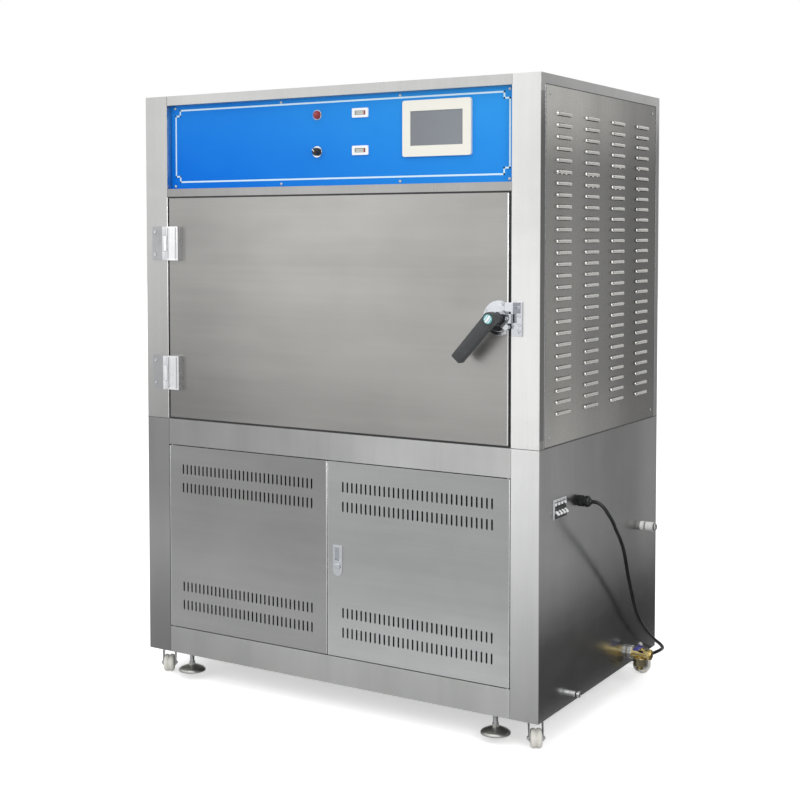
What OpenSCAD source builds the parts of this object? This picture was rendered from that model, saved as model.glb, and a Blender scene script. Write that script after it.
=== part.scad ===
// Accelerated weathering tester: a stainless cabinet on casters and levelling feet.
// The upper cabinet holds the lamp chamber and the controls, the lower one the water and the electrics.
// Millimetres. X runs to the right as seen from the front, Y to the back and Z up from the floor.

/* [Cabinet] */
// Width of the cabinet from side to side
body_w = 1280; // [1250:5:1400]
// Depth of the cabinet from front to back
body_d = 800; // [780:5:900]
// Height of the cabinet from its underside to its top
body_h = 1630; // [1610:5:1750]
// Height of the lower cabinet, up to the seam
lower_h = 692; // [660:2:710]
// Gap between the floor and the cabinet's underside
ground_gap = 75; // [72:1:90]
// Thickness of the sheet metal
sheet_t = 1.5; // [1.2:0.1:2]
// Thickness of the deck between the two cabinets
deck_t = 2; // [1.5:0.5:4]
// Width of a front post
post_w = 80; // [72:1:90]
// Depth of the folded frame members, front and back
frame_d = 28; // [27:1:34]
// Height of the top rail
top_rail_h = 27; // [22:1:34]
// Height of the rail between the control panel and the main door
strip_h = 24; // [18:1:30]
// Height of both rails of the lower cabinet
lower_rail_h = 76; // [66:1:90]
// Width of the ledge that a side panel lies on
ledge_w = 45; // [40:1:50]

/* [Main door] */
// Gap beside the door at its hinges
main_gap_hinge = 4; // [3:0.5:6]
// Gap beside the door at its latch
main_gap_latch = 8; // [6:0.5:10]
// Gap above and below the door
main_gap_z = 3; // [2:0.5:5]
// Depth of the door's outer pan
main_pan_d = 22; // [19:0.5:24]
// Width of the lip behind the outer pan
main_lip_w = 45; // [43:1:60]
// Depth of the plug that enters the chamber
plug_d = 38; // [24:1:44]
// Gap between the plug and the chamber's mouth
plug_gap = 7; // [5:0.5:9]
// Width of the door gasket
gasket_w = 16; // [10:1:17]
// Distance of the gasket from the door's edge
gasket_inset = 6; // [3:0.5:6]
// Gap between the gasket and the chamber flange
seal_gap = 0.3; // [0.2:0.1:0.6]

/* [Hinges] */
// Height of a hinge
hinge_h = 98; // [80:1:130]
// Distance of a hinge from the door's top or bottom edge
hinge_inset = 82; // [60:1:130]
// Width of the hinge leaf on the post
leaf_w = 54; // [45:1:65]
// Thickness of the hinge leaf
leaf_t = 5; // [3:0.5:6]
// Width of the hinge block on the door
hinge_block_w = 42; // [35:1:60]
// Height of the hinge block above the door
hinge_block_t = 17; // [15:0.5:22]
// Radius of a hinge knuckle
knuckle_r = 9; // [8:0.5:10]
// Distance of the hinge axis in front of the door
hinge_axis_out = 11; // [10.5:0.5:13]
// Radius of the hinge pin
hinge_pin_r = 4; // [3:0.5:5]

/* [Latch] */
// Distance of the latch axis from the door's edge
latch_edge = 25; // [24:0.5:30]
// Distance of the latch axis above the middle of the door
latch_rise = 4; // [0:1:30]
// Radius of the latch base plate
latch_base_r = 44; // [36:1:50]
// Radius of the latch shaft
latch_shaft_r = 8; // [6:0.5:10]
// Length of the cam's arm from its axis
cam_arm = 42; // [40:0.5:44]
// Height of the cam's arm
cam_arm_h = 24; // [18:1:26]
// Distance of the lever's front from the door
latch_reach = 62; // [56:1:76]
// Thickness of the lever
lever_t = 24; // [16:1:28]
// Length of the lever from its axis to its tip
lever_len = 142; // [110:1:170]
// Width of the lever
lever_w = 33; // [24:1:36]
// Angle of the lever below the horizontal at rest
lever_rest_deg = 48; // [30:1:60]

/* [Control panel] */
// Height of the control panel
control_h = 241; // [220:1:270]
// Distance of the control panel behind the cabinet's front
panel_recess = 20; // [10:1:22]
// Thickness of the control panel
panel_t = 2; // [1.5:0.5:3]
// Width of the ledge behind the control panel
panel_ledge_w = 20; // [16:1:26]
// Distance of the panel screws from the panel's edge
panel_screw_in = 8; // [6:0.5:12]
// Distance of the left inner screws from the middle
panel_screw_left = 164; // [120:1:220]
// Distance of the right inner screws from the middle
panel_screw_right = 222; // [180:1:225]
// Width of the touch screen's bezel
screen_w = 204; // [180:1:212]
// Height of the touch screen's bezel
screen_h = 146; // [125:1:160]
// Distance of the touch screen's middle from the panel's right end
screen_side = 225; // [185:1:230]
// Height of the touch screen's middle above the panel's bottom edge
screen_z = 144; // [100:1:150]
// Width of the glass
glass_w = 156; // [120:1:170]
// Height of the glass
glass_h = 90; // [80:1:110]
// Distance of the hour counters from the panel's right end
counter_side = 462; // [400:1:500]
// Width of an hour counter's bezel
counter_w = 51; // [40:1:60]
// Height of an hour counter's bezel
counter_h = 25; // [20:1:34]
// Distance of the lamp and the switch from the panel's right end
lamp_side = 602; // [560:1:660]
// Height of the upper row above the panel's bottom edge
row_high = 193; // [165:1:205]
// Height of the lower row above the panel's bottom edge
row_low = 93; // [60:1:110]
// Radius of the alarm lamp's ring
lamp_ring_r = 14.5; // [12:0.5:18]
// Radius of the switch ring
switch_ring_r = 15.5; // [13:0.5:18]
// Radius of the switch knob
knob_r = 11; // [8:0.5:12]

/* [Louvres] */
// Length of a louvre
louvre_len = 88; // [70:1:110]
// Height of a louvre
louvre_h = 15; // [12:0.5:18]
// Distance that a louvre stands out
louvre_out = 6; // [4:0.5:7]
// Distance between rows of louvres
louvre_pitch_z = 29.3; // [24:0.1:36]
// Distance between columns of louvres
louvre_pitch_y = 177; // [140:1:190]
// Plain margin above and below the louvres
louvre_margin = 54; // [50:1:70]
// Distance of the louvres' middle above the panel's middle
louvre_rise = 5; // [0:1:12]

/* [Lower doors] */
// Depth of a lower door
lower_door_d = 20; // [16:0.5:21]
// Gap around a lower door
lower_gap = 2.5; // [2:0.5:4]
// Gap between the two lower doors
centre_gap = 3; // [2:0.5:5]
// Width of a lower door's back lip
lower_lip_w = 16; // [12:1:24]
// Distance of a door pivot from the door's edge
pivot_in = 7; // [6.5:0.5:8]
// Distance of a door pivot behind the door's face
pivot_back = 5.5; // [5:0.5:6]
// Radius of a pivot pin
pivot_r = 3; // [2.5:0.5:3]
// Radial clearance of every pin that turns
run_gap = 0.05; // [0.02:0.01:0.08]
// Length of a ventilation slot
slot_len = 28.5; // [20:0.5:36]
// Width of a ventilation slot
slot_w = 5; // [3:0.5:7]
// Distance between ventilation slots
slot_pitch = 14.7; // [10:0.1:20]
// Distance between the two rows of slots
slot_row_pitch = 54; // [42:1:70]
// Distance of the outer row of slots from the door's edge
slot_edge = 53.5; // [40:0.5:70]
// Plain margin beside the slots
slot_margin = 45; // [40:1:70]
// Distance of the lock from the middle of the cabinet
lock_x = 35; // [33:0.5:60]
// Height of the lock cylinder above the cabinet's underside
lock_z = 328; // [200:1:440]
// Width of the lock plate
lock_w = 30; // [28:0.5:36]
// Height of the lock plate
lock_h = 84; // [76:1:100]
// Radius of the lock cylinder
lock_cyl_r = 9; // [7:0.5:9.5]
// Length of the lock's cam
lock_cam_len = 40; // [30:1:50]
// Width of the strip behind the two doors
mullion_w = 44; // [30:1:44]

/* [Side fittings] */
// Distance of the breaker from the front
breaker_y = 118; // [90:1:140]
// Height of the breaker above the cabinet's underside
breaker_z = 529; // [300:1:580]
// Width of the breaker
breaker_w = 72; // [54:1:76]
// Height of the breaker
breaker_h = 47; // [40:1:60]
// Distance of the cord gland from the front
gland_y = 254; // [240:1:300]
// Height of the cord gland above the cabinet's underside
gland_z = 526; // [500:1:560]
// Distance that the cord gland stands out
gland_len = 31; // [30:1:45]
// Distance that the water inlet stands out
inlet_out = 45; // [38:1:52]
// Distance of the drain valve from the front
valve_y = 592; // [480:1:640]
// Height of the drain valve above the cabinet's underside
valve_z = 35; // [30:1:80]
// Distance that the drain valve stands out
valve_out = 71; // [68:1:90]
// Distance of the overflow tube from the front
overflow_y = 192; // [175:1:220]
// Height of the overflow tube above the cabinet's underside
overflow_z = 27; // [22:1:80]
// Radius of the overflow tube
overflow_r = 7; // [5:0.5:9]
// Distance that the overflow tube stands out
overflow_out = 28; // [22:1:40]

/* [Casters and feet] */
// Distance of a caster's swivel axis from the cabinet's side
caster_side = 33; // [28:1:60]
// Distance of a caster's swivel axis from the front or the back
caster_in = 52; // [50:1:80]
// Distance of the wheel's axle from the swivel axis
caster_trail = 15; // [12:1:20]
// Radius of a caster wheel
wheel_r = 25; // [20:0.5:27]
// Width of a caster wheel
wheel_w = 30; // [24:1:34]
// Angle that the casters stand at, away from straight ahead
caster_turn = 32; // [0:1:60]
// Distance of a foot from the cabinet's side
foot_side = 136; // [132:1:200]
// Distance of a foot from the front or the back
foot_in = 30; // [26:1:100]
// Height of a foot's pad above the floor while the casters carry the cabinet
foot_lift = 20; // [1:1:22]
// Radius of a foot's pad
foot_r = 39; // [30:1:42]
// Radius of a foot's stem
stem_r = 6; // [5:0.5:8]
// Travel of a foot below its resting height
foot_travel = 26; // [22:1:34]

/* [Chamber] */
// Distance of the chamber from the cabinet's side
chamber_side = 70; // [66:1:80]
// Inner depth of the chamber
chamber_d = 560; // [520:5:580]
// Distance that the chamber is taller than its mouth, above and below
chamber_over = 14; // [8:1:20]
// Width of the mouth's rim inside the door opening
mouth_rim = 30; // [28:1:40]
// Number of lamps
lamp_count = 8; // [4:1:8]
// Distance that a lamp reaches past the chamber at each end
lamp_over = 30; // [25:1:34]
// Radius of a lamp
lamp_r = 19; // [13:0.5:20]
// Distance between lamps
lamp_pitch = 62; // [56:1:66]
// Distance of the lamps' middle below the chamber's top
lamp_drop = 45; // [35:1:60]
// Height of the specimen rack above the chamber's floor
rack_z = 300; // [290:1:360]
// Thickness of the rack's bars
rack_bar = 12; // [8:0.5:16]
// Number of specimen holders in a row
holder_count = 12; // [8:1:12]
// Width of a specimen holder
holder_w = 84; // [70:1:88]
// Length of a specimen holder
holder_len = 208; // [200:1:212]
// Distance between specimen holders
holder_pitch = 92; // [90:0.5:93]
// Height of the water tray
tray_h = 60; // [45:1:80]
// Distance of the water tray from the chamber's sides
tray_side = 70; // [40:1:90]
// Radius of the blower wheel
blower_r = 90; // [70:1:94]
// Width of the blower wheel
blower_w = 45; // [30:1:50]
// Number of blades on the blower wheel
blade_count = 24; // [12:1:30]

/* [Water and electrics] */
// Width of the water tank
tank_w = 340; // [260:5:380]
// Depth of the water tank
tank_d = 300; // [240:5:320]
// Height of the water tank
tank_h = 400; // [390:2:440]
// Distance of the water tank from the cabinet's left side
tank_side = 120; // [100:5:160]
// Distance of the water tank from the back
tank_back = 100; // [80:5:120]
// Distance of the water inlet below the tank's top
inlet_drop = 18; // [12:1:40]
// Distance of the water inlet from the tank's back
inlet_in = 18; // [12:1:40]
// Distance of the electrical plate from the cabinet's right side
plate_side = 80; // [70:5:120]
// Width of the electrical plate
plate_w = 600; // [580:5:640]
// Length of a ballast
ballast_w = 128; // [110:1:128]
// Radius of the blower motor
motor_r = 55; // [45:1:60]
// Length of the blower motor
motor_len = 115; // [100:1:120]

/* [Hidden] */
$fn = 48;

// Small amount by which a cut passes a face
over = 1;
// Gap between pieces that lie in each other but don't turn
fit_gap = 0.3;

half_w = body_w / 2;
floor_z = ground_gap;
seam_z = floor_z + lower_h;
top_z = floor_z + body_h;
post_in = half_w - post_w;
back_y = body_d - frame_d;
control_top = top_z - top_rail_h;
control_bot = control_top - control_h;
opening_top = control_bot - strip_h;
opening_bot = seam_z + deck_t;

// The row's origin is under the middle of everything that stands out
screw_head_t = 2.2;
rear_out = sheet_t + screw_head_t;
latch_cap_t = 3;
front_out = latch_reach + latch_cap_t;
origin_x = (valve_out - louvre_out) / 2;
origin_y = (body_d + rear_out - front_out) / 2;

door_x0 = -post_in + main_gap_hinge;
door_x1 = post_in - main_gap_latch;
door_z0 = opening_bot + main_gap_z;
door_z1 = opening_top - main_gap_z;
door_mid_z = (door_z0 + door_z1) / 2;

mouth_x = post_in - mouth_rim;
mouth_z0 = opening_bot + mouth_rim;
mouth_z1 = opening_top - mouth_rim;
flange_over = 40;
flange_lap = 12;
liner_y0 = frame_d;
chamber_y0 = liner_y0 + sheet_t;
chamber_y1 = chamber_y0 + chamber_d;
chamber_x = half_w - chamber_side;
lamp_len = 2 * (chamber_x + lamp_over);
chamber_z0 = mouth_z0 - chamber_over;
chamber_z1 = mouth_z1 + chamber_over;

hinge_x = -post_in;
hinge_y = -hinge_axis_out;
hinge_low_z = door_z0 + hinge_inset;
hinge_high_z = door_z1 - hinge_inset - hinge_h;
knuckle_share = 0.27;
knuckle_h = hinge_h * knuckle_share;
hinge_side_gap = 0.5;

latch_x = door_x1 - latch_edge;
latch_z = door_mid_z + latch_rise;
latch_base_t = 8;
cam_back = latch_base_t + 0.4;
cam_front = cam_back + 12;
cam_hub_r = 18;
cam_lug_len = 34;
cam_lug_h = 16;
cam_lug_deg = -38;
lever_neck_r = 13;
lever_head_r = lever_w / 2 + 1;
lip_gap = 0.6;
lip_t = 5;
lip_side = 2.5;
lip_low = 18;
lip_high = 41;
strike_web_t = 6;
strike_plate_t = 4;
strike_x0 = post_in + 2;
strike_w = 30;
strike_down = 45;
cam_swing_r = norm([cam_arm, cam_arm_h / 2]);

panel_back = panel_recess + panel_t;
screen_bezel_out = 8;
screen_round = 6;
screen_body_d = 34;
screen_x = post_in - screen_side;
counter_x = post_in - counter_side;
lamp_x = post_in - lamp_side;
counter_bezel_out = 4;
counter_round = 3;
counter_body_d = 42;
lamp_ring_t = 3;
knob_gap = 0.4;
knob_t = 13;
knob_shaft_r = 3;
knob_shaft_len = 14;
neck_r = 10.8;

side_y0 = frame_d;
side_y1 = back_y;
side_z0 = opening_bot;
side_z1 = control_top;
side_gap = 0.5;
side_screw_in_y = 27;
side_screw_in_z = 22;
louvre_margin_y = 55;
screw_r = 2;
screw_hole_r = 2.2;
screw_head_r = 4;
screw_len = 8;

lower_z0 = floor_z + lower_rail_h;
lower_z1 = seam_z - lower_rail_h;
lower_door_w = post_in - lower_gap - centre_gap / 2;
pivot_x = post_in - lower_gap - pivot_in;
pivot_block_h = 12;
pivot_reach = 9;
mullion_gap = 0.4;
lock_zc = floor_z + lock_z;
lock_low = 27;
lock_plate_t = 2;
lock_pocket_d = 9;
lock_body_d = 14;
lock_side = 3;
lock_cam_t = 3;
lock_cam_w = 14;
lock_cam_gap = 1;
catch_w = 40;
catch_h = 14;
catch_x = 60;

wheel_z = wheel_r;
caster_x = half_w - caster_side;
foot_x = half_w - foot_side;
caster_plate_t = 3;
fork_gap = 0.3;
fork_side_gap = 1.5;
fork_t = 2.5;
fork_crown_t = 4;
axle_r = 3;
kingpin_r = 4;
caster_y = caster_in;
boss_r = 12;
boss_h = 24;

breaker_zc = floor_z + breaker_z;
breaker_out = 4;
breaker_depth = 58;
toggle_drum_r = 9;
toggle_len = 21;
toggle_t = 5;
toggle_rest_deg = -38;
pole_pitch = 17.5;
pole_count = 4;

gland_zc = floor_z + gland_z;
gland_hole_r = 10;
gland_nut_r = 15;
gland_dome_x = 14;
inlet_y = body_d - tank_back - inlet_in;
inlet_zc = floor_z + sheet_t + tank_h - inlet_drop;
inlet_r = 13.5;
inlet_bore_r = 4.8;
inlet_bore_len = 20;
inlet_pipe_r = 5;
valve_zc = floor_z + valve_z;
valve_r = 13;
valve_nut_r = 18;
valve_nut_t = 14;
valve_end_r = 16;
valve_stem_x = 36;
valve_drop = 45;
outlet_r = 9.5;
outlet_len = 12;
outlet_nut_h = 21;
valve_pipe_r = 8;
lever_plate_t = 3;
overflow_zc = floor_z + overflow_z;
riser_x = half_w - breaker_depth - 12;

lamp_z = chamber_z1 - lamp_drop;
holder_r = lamp_r + 6;
holder_end_t = 10;
rack_top = chamber_z0 + rack_z + rack_bar;
rack_x = chamber_x - 6;
rack_y0 = chamber_y0 + 50;
rack_y1 = rack_y0 + 2 * holder_len + rack_bar + 4;
rack_mid = (rack_y0 + rack_y1) / 2;
holder_t = 4;
rack_ledge_w = 20;
tray_t = 1.2;
tray_gap = 8;
tray_back = 56.5;
tray_x = chamber_x - tray_side;
tray_y0 = main_pan_d + plug_d + tray_gap;
tray_y1 = chamber_y1 - tray_back;
heater_r = 5;
heater_in = 40;
heater_pitch = 80;
heater_z = 16;
blower_z = chamber_z0 + 190;
blower_y1 = chamber_y1 - 8;
blower_shaft_r = 6;
motor_flange = motor_r + 15;
motor_flange_t = 4;
motor_box_w = 36;
motor_box_h = 26;
motor_box_l = 50;
tank_x0 = tank_side - half_w;
tank_x1 = tank_x0 + tank_w;
tank_y1 = body_d - tank_back;
tank_y0 = tank_y1 - tank_d;
feed_in = 13;
feed_x = (tank_x0 + tank_x1) / 2;
feed_y = tray_y1 - feed_in;
feed_r = 6;
feed_dip = 20;
neck_r_out = 24;
neck_wall = 4;
neck_h = 12;
plate_t = 2;
plate_off = 26.5;
plate_x1 = half_w - plate_side;
plate_x0 = plate_x1 - plate_w;
plate_low = 130;
plate_z0 = floor_z + plate_low;
plate_z1 = seam_z - plate_low;
plate_front = body_d - sheet_t - plate_off;
plate_edge = 30;
ballast_h = 40;
ballast_d = 28;
contactor_w = 45;
contactor_h = 80;
contactor_d = 50;
terminal_w = 250;
terminal_h = 36;

// Route of the power cord, from the gland to its coil behind the cabinet: the distance from the
// cabinet's side, then Y and Z as drawn for the gland and the depth named below
cord_r = 5;
cord_sides = 10;
drawn_gland_y = 254;
drawn_gland_z = 601;
drawn_depth = 800;
cord_route = [
    [31, 254, 601], [42, 254, 601], [54, 255, 597], [64, 259, 587], [72, 268, 570],
    [78, 283, 549], [80, 300, 526], [77, 340, 489], [68, 387, 447], [57, 432, 399],
    [48, 470, 356], [40, 512, 307], [33, 553, 257], [30, 592, 213], [29, 641, 171],
    [30, 703, 127], [31, 770, 88], [26, 795, 73], [13, 813, 60], [-6, 826, 47],
    [-29, 832, 34], [-52, 833, 22], [-74, 831, 13], [-97, 829, 7], [-120, 827, 5], [-142, 826, 5]
];
coil_mean_r = 58;
coil_bundle_r = 15;
coil_x = half_w - 148;
coil_y = body_d + 84;
plug_len = 75;
plug_r = 17;

// Places a child in the row's frame
module placed() {
    translate([-origin_x, -origin_y, 0]) children();
}

// A block between two corners
module block(low, high) {
    translate(low) cube(high - low);
}

// A folded sheet pan between two corners, open on the side that the vector names
module pan(low, high, open, t = sheet_t) {
    difference() {
        block(low, high);
        block([for (i = [0:2]) low[i] + t + min(open[i], 0) * 2 * t],
            [for (i = [0:2]) high[i] - t + max(open[i], 0) * 2 * t]);
    }
}

// A folded door pan with a lip all round its open back
module lipped_pan(x0, x1, y1, z0, z1, lip) {
    difference() {
        block([x0, 0, z0], [x1, y1, z1]);
        block([x0 + sheet_t, sheet_t, z0 + sheet_t], [x1 - sheet_t, y1 - sheet_t, z1 - sheet_t]);
        block([x0 + lip, sheet_t, z0 + lip], [x1 - lip, y1 + over, z1 - lip]);
    }
}

// Cylinders that start at a point and run along one axis
module rod_x(at, r, len) {
    translate(at) rotate([0, 90, 0]) cylinder(r = r, h = len);
}

module rod_y(at, r, len) {
    translate(at) rotate([-90, 0, 0]) cylinder(r = r, h = len);
}

module rod_z(at, r, len) {
    translate(at) cylinder(r = r, h = len);
}

// A front outline, drawn in X and Z, made thick from one Y to a nearer one
module front_plate(y_back, t) {
    translate([0, y_back, 0]) rotate([90, 0, 0]) linear_extrude(t) children();
}

// A rectangle with round corners about its centre
module round_rect(w, h, r) {
    square([w - 2 * r, h], center = true);
    square([w, h - 2 * r], center = true);
    for (sx = [-1, 1], sy = [-1, 1]) translate([sx * (w / 2 - r), sy * (h / 2 - r)]) circle(r);
}

module both_sides() {
    children();
    mirror([1, 0, 0]) children();
}

// The same shape at the front and, mirrored, at the back
module both_ends() {
    children();
    translate([0, body_d, 0]) mirror([0, 1, 0]) children();
}

// Places of the screws on a side panel, as Y and Z
function side_screws() = [
    for (y = [side_y0 + side_screw_in_y, side_y1 - side_screw_in_y])
        for (z = [side_z0 + side_screw_in_z, side_z1 - side_screw_in_z]) [y, z]
];

// Places of the screws on the control panel, as X and Z
function panel_screws_at() = [
    for (x = [2 * panel_screw_in - post_in, -panel_screw_left, panel_screw_right, post_in - 2 * panel_screw_in])
        for (z = [control_bot + panel_screw_in, control_top - panel_screw_in]) [x, z]
];

// Places of the screws on the rear panel, as X and Z
rear_edge = 14;
function rear_screws() = [
    for (x = [-half_w + rear_edge, 0, half_w - rear_edge])
        for (z = [seam_z + rear_edge, control_top + rear_edge]) [x, z]
];

// Rows of upright slots about the middle of a field
module slot_row(field_w) {
    n = floor((field_w - 2 * slot_margin - slot_w) / slot_pitch) + 1;
    for (i = [0:n - 1]) translate([(i - (n - 1) / 2) * slot_pitch, 0]) {
        square([slot_w, slot_len - slot_w], center = true);
        for (s = [-1, 1]) translate([0, s * (slot_len - slot_w) / 2]) circle(slot_w / 2, $fn = 24);
    }
}

// Upper cabinet: posts, rails, deck, top and the ledges of the panels
module upper_cabinet() {
    color("gainsboro") placed() difference() {
        union() {
            both_sides() {
                pan([post_in, 0, seam_z], [half_w, frame_d, top_z], [0, 1, 0]);
                pan([half_w - frame_d, back_y, seam_z], [half_w, body_d, top_z], [0, -1, 0]);
                pan([half_w - frame_d, frame_d - sheet_t, control_top],
                    [half_w, back_y + sheet_t, top_z], [-1, 0, 0]);
                side_ledge();
            }
            block([-half_w, 0, seam_z], [half_w, body_d, opening_bot]);
            pan([-post_in - sheet_t, 0, opening_top], [post_in + sheet_t, frame_d, control_bot], [0, 1, 0]);
            pan([-post_in - sheet_t, 0, control_top], [post_in + sheet_t, frame_d, top_z], [0, 1, 0]);
            pan([frame_d - half_w - sheet_t, back_y, control_top],
                [half_w - frame_d + sheet_t, body_d, top_z], [0, -1, 0]);
            pan([frame_d - half_w - sheet_t, back_y, seam_z],
                [half_w - frame_d + sheet_t, body_d, seam_z + frame_d], [0, -1, 0]);
            block([frame_d - half_w - sheet_t, frame_d - sheet_t, top_z - sheet_t],
                [half_w - frame_d + sheet_t, back_y + sheet_t, top_z]);
            control_ledge();
        }
        for (p = panel_screws_at()) rod_y([p.x, panel_back - over, p.y], screw_hole_r, sheet_t + 2 * over);
        for (p = rear_screws()) rod_y([p.x, body_d - sheet_t - over, p.y], screw_hole_r, sheet_t + 2 * over);
        for (p = side_screws()) both_sides()
            rod_x([half_w - 2 * sheet_t - over, p.x, p.y], screw_hole_r, sheet_t + 2 * over);
        rod_z([riser_x, overflow_y, seam_z - over], overflow_r - 2, deck_t + 2 * over);
        rod_z([feed_x, feed_y, seam_z - over], feed_r + fit_gap, deck_t + 2 * over);
    }
}

// The joggled ledge that a side panel lies on
module side_ledge() {
    difference() {
        block([half_w - 2 * sheet_t, side_y0 - sheet_t, side_z0 - sheet_t],
            [half_w, side_y1 + sheet_t, side_z1 + sheet_t]);
        block([half_w - sheet_t, side_y0, side_z0], [half_w + over, side_y1, side_z1]);
        block([half_w - 2 * sheet_t - over, side_y0 + ledge_w, side_z0 + ledge_w],
            [half_w + over, side_y1 - ledge_w, side_z1 - ledge_w]);
    }
}

// The ledge that the control panel lies on
module control_ledge() {
    difference() {
        block([-post_in - sheet_t, panel_back, control_bot - sheet_t],
            [post_in + sheet_t, panel_back + sheet_t, control_top + sheet_t]);
        block([-post_in + panel_ledge_w, panel_back - over, control_bot + panel_ledge_w],
            [post_in - panel_ledge_w, panel_back + sheet_t + over, control_top - panel_ledge_w]);
    }
}

// Lower cabinet: posts, rails, walls, floor, centre strip, pivot pins and foot bosses
module lower_cabinet() {
    color("darkgray") placed() difference() {
        union() {
            both_sides() {
                pan([post_in, 0, floor_z], [half_w, frame_d, seam_z], [0, 1, 0]);
                block([half_w - sheet_t, 0, floor_z], [half_w, body_d, seam_z]);
                both_ends() rod_z([foot_x, foot_in, floor_z], boss_r, boss_h);
                for (z = [lower_z0 - pivot_reach, lower_z1 - pivot_reach])
                    rod_z([pivot_x, pivot_back, z], pivot_r, 2 * pivot_reach);
            }
            block([-half_w, 0, floor_z], [half_w, body_d, floor_z + sheet_t]);
            block([-half_w, body_d - sheet_t, floor_z], [half_w, body_d, seam_z]);
            pan([-post_in - sheet_t, 0, floor_z], [post_in + sheet_t, frame_d, lower_z0], [0, 1, 0]);
            pan([-post_in - sheet_t, 0, lower_z1], [post_in + sheet_t, frame_d, seam_z], [0, 1, 0]);
            pan([-mullion_w / 2, lower_door_d + mullion_gap, lower_z0 - sheet_t],
                [mullion_w / 2, frame_d, lower_z1 + sheet_t], [0, 1, 0]);
        }
        both_sides() both_ends()
            rod_z([foot_x, foot_in, floor_z - over], stem_r + run_gap, boss_h + 2 * over);
        side_cutouts();
    }
}

// Openings in the right wall for the fittings
module side_cutouts() {
    x = half_w - sheet_t - over;
    t = sheet_t + 2 * over;
    block([x, breaker_y - breaker_w / 2, breaker_zc - breaker_h / 2],
        [x + t, breaker_y + breaker_w / 2, breaker_zc + breaker_h / 2]);
    rod_x([x, gland_y, gland_zc], gland_hole_r, t);
    rod_x([x, inlet_y, inlet_zc], valve_pipe_r, t);
    rod_x([x, valve_y, valve_zc], valve_pipe_r, t);
    rod_x([x, overflow_y, overflow_zc], overflow_r - 1 + fit_gap, t);
}

// Rear cover of the upper cabinet, with one row of slots near its top
module rear_panel() {
    edge = 4;
    mid_z = (seam_z + top_z) / 2;
    color("darkgray") placed() difference() {
        block([edge - half_w, body_d, seam_z + edge], [half_w - edge, body_d + sheet_t, top_z - edge]);
        for (p = rear_screws()) rod_y([p.x, body_d - over, p.y], screw_hole_r, sheet_t + 2 * over);
        for (s = [-1, 1], row = [0, 1])
            translate([s * half_w / 2, body_d + sheet_t + over, control_bot + row * slot_row_pitch])
                rotate([90, 0, 0]) linear_extrude(sheet_t + 2 * over) slot_row(half_w - frame_d);
    }
}

// One stamped louvre: a round-ended hood that is open at its bottom
module louvre_hood(r, len) {
    rod_y([0, -len / 2, 0], r, len);
    for (s = [-1, 1]) translate([0, s * len / 2, 0]) sphere(r);
}

// Side panel with its rows and columns of louvres
louvre_drop = louvre_h / 2 - louvre_out;
function louvre_places() = let (
    h = side_z1 - side_z0,
    w = side_y1 - side_y0,
    rows = floor((h - 2 * louvre_margin - louvre_h) / louvre_pitch_z) + 1,
    cols = floor((w - 2 * louvre_margin_y - louvre_len) / louvre_pitch_y) + 1
) [
    for (i = [0:cols - 1], j = [0:rows - 1]) [
        (side_y0 + side_y1) / 2 + (i - (cols - 1) / 2) * louvre_pitch_y,
        (side_z0 + side_z1) / 2 + louvre_rise + (j - (rows - 1) / 2) * louvre_pitch_z
    ]
];

module louvre_panel() {
    r = louvre_h / 2;
    straight = louvre_len - louvre_h;
    difference() {
        union() {
            block([half_w - sheet_t, side_y0 + side_gap, side_z0 + side_gap],
                [half_w, side_y1 - side_gap, side_z1 - side_gap]);
            for (p = louvre_places()) intersection() {
                translate([half_w - louvre_drop, p.x, p.y]) louvre_hood(r, straight);
                block([half_w - sheet_t / 2, p.x - louvre_len / 2 - over, p.y - r / 2],
                    [half_w + louvre_out + over, p.x + louvre_len / 2 + over, p.y + r + over]);
            }
        }
        for (p = louvre_places()) intersection() {
            translate([half_w - louvre_drop, p.x, p.y]) louvre_hood(r - sheet_t, straight);
            block([half_w - sheet_t - over, p.x - louvre_len / 2, p.y - r / 2 - over],
                [half_w + louvre_out, p.x + louvre_len / 2, p.y + r]);
        }
        for (p = side_screws()) rod_x([half_w - sheet_t - over, p.x, p.y], screw_hole_r, sheet_t + 2 * over);
    }
}

module right_louvre_panel() {
    color("silver") placed() louvre_panel();
}

module left_louvre_panel() {
    color("silver") placed() mirror([1, 0, 0]) louvre_panel();
}

// A pan-head screw that points along +Z from its seat at the origin
module pan_screw() {
    translate([0, 0, -screw_head_t]) cylinder(r = screw_head_r, h = screw_head_t, $fn = 24);
    cylinder(r = screw_r, h = screw_len, $fn = 24);
}

module panel_screws() {
    color("lightgray") placed() {
        for (p = panel_screws_at()) translate([p.x, panel_recess, p.y]) rotate([-90, 0, 0]) pan_screw();
        for (p = rear_screws()) translate([p.x, body_d + sheet_t, p.y]) rotate([90, 0, 0]) pan_screw();
        both_sides() for (p = side_screws())
            translate([half_w, p.x, p.y]) rotate([0, -90, 0]) pan_screw();
    }
}

// Control panel with the openings for what it carries
panel_gap = 0.5;
module control_panel() {
    color("dodgerblue") placed() difference() {
        block([-post_in + panel_gap, panel_recess, control_bot + panel_gap],
            [post_in - panel_gap, panel_back, control_top - panel_gap]);
        front_plate(panel_back + over, panel_t + 2 * over) {
            translate([screen_x, control_bot + screen_z]) square([glass_w + 12, glass_h + 12], center = true);
            for (z = [row_low, row_high]) translate([counter_x, control_bot + z])
                square([counter_w - 5, counter_h - 4], center = true);
            for (z = [row_low, row_high]) translate([lamp_x, control_bot + z]) circle(neck_r + fit_gap / 2);
            for (p = panel_screws_at()) translate(p) circle(screw_hole_r);
        }
    }
}

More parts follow.
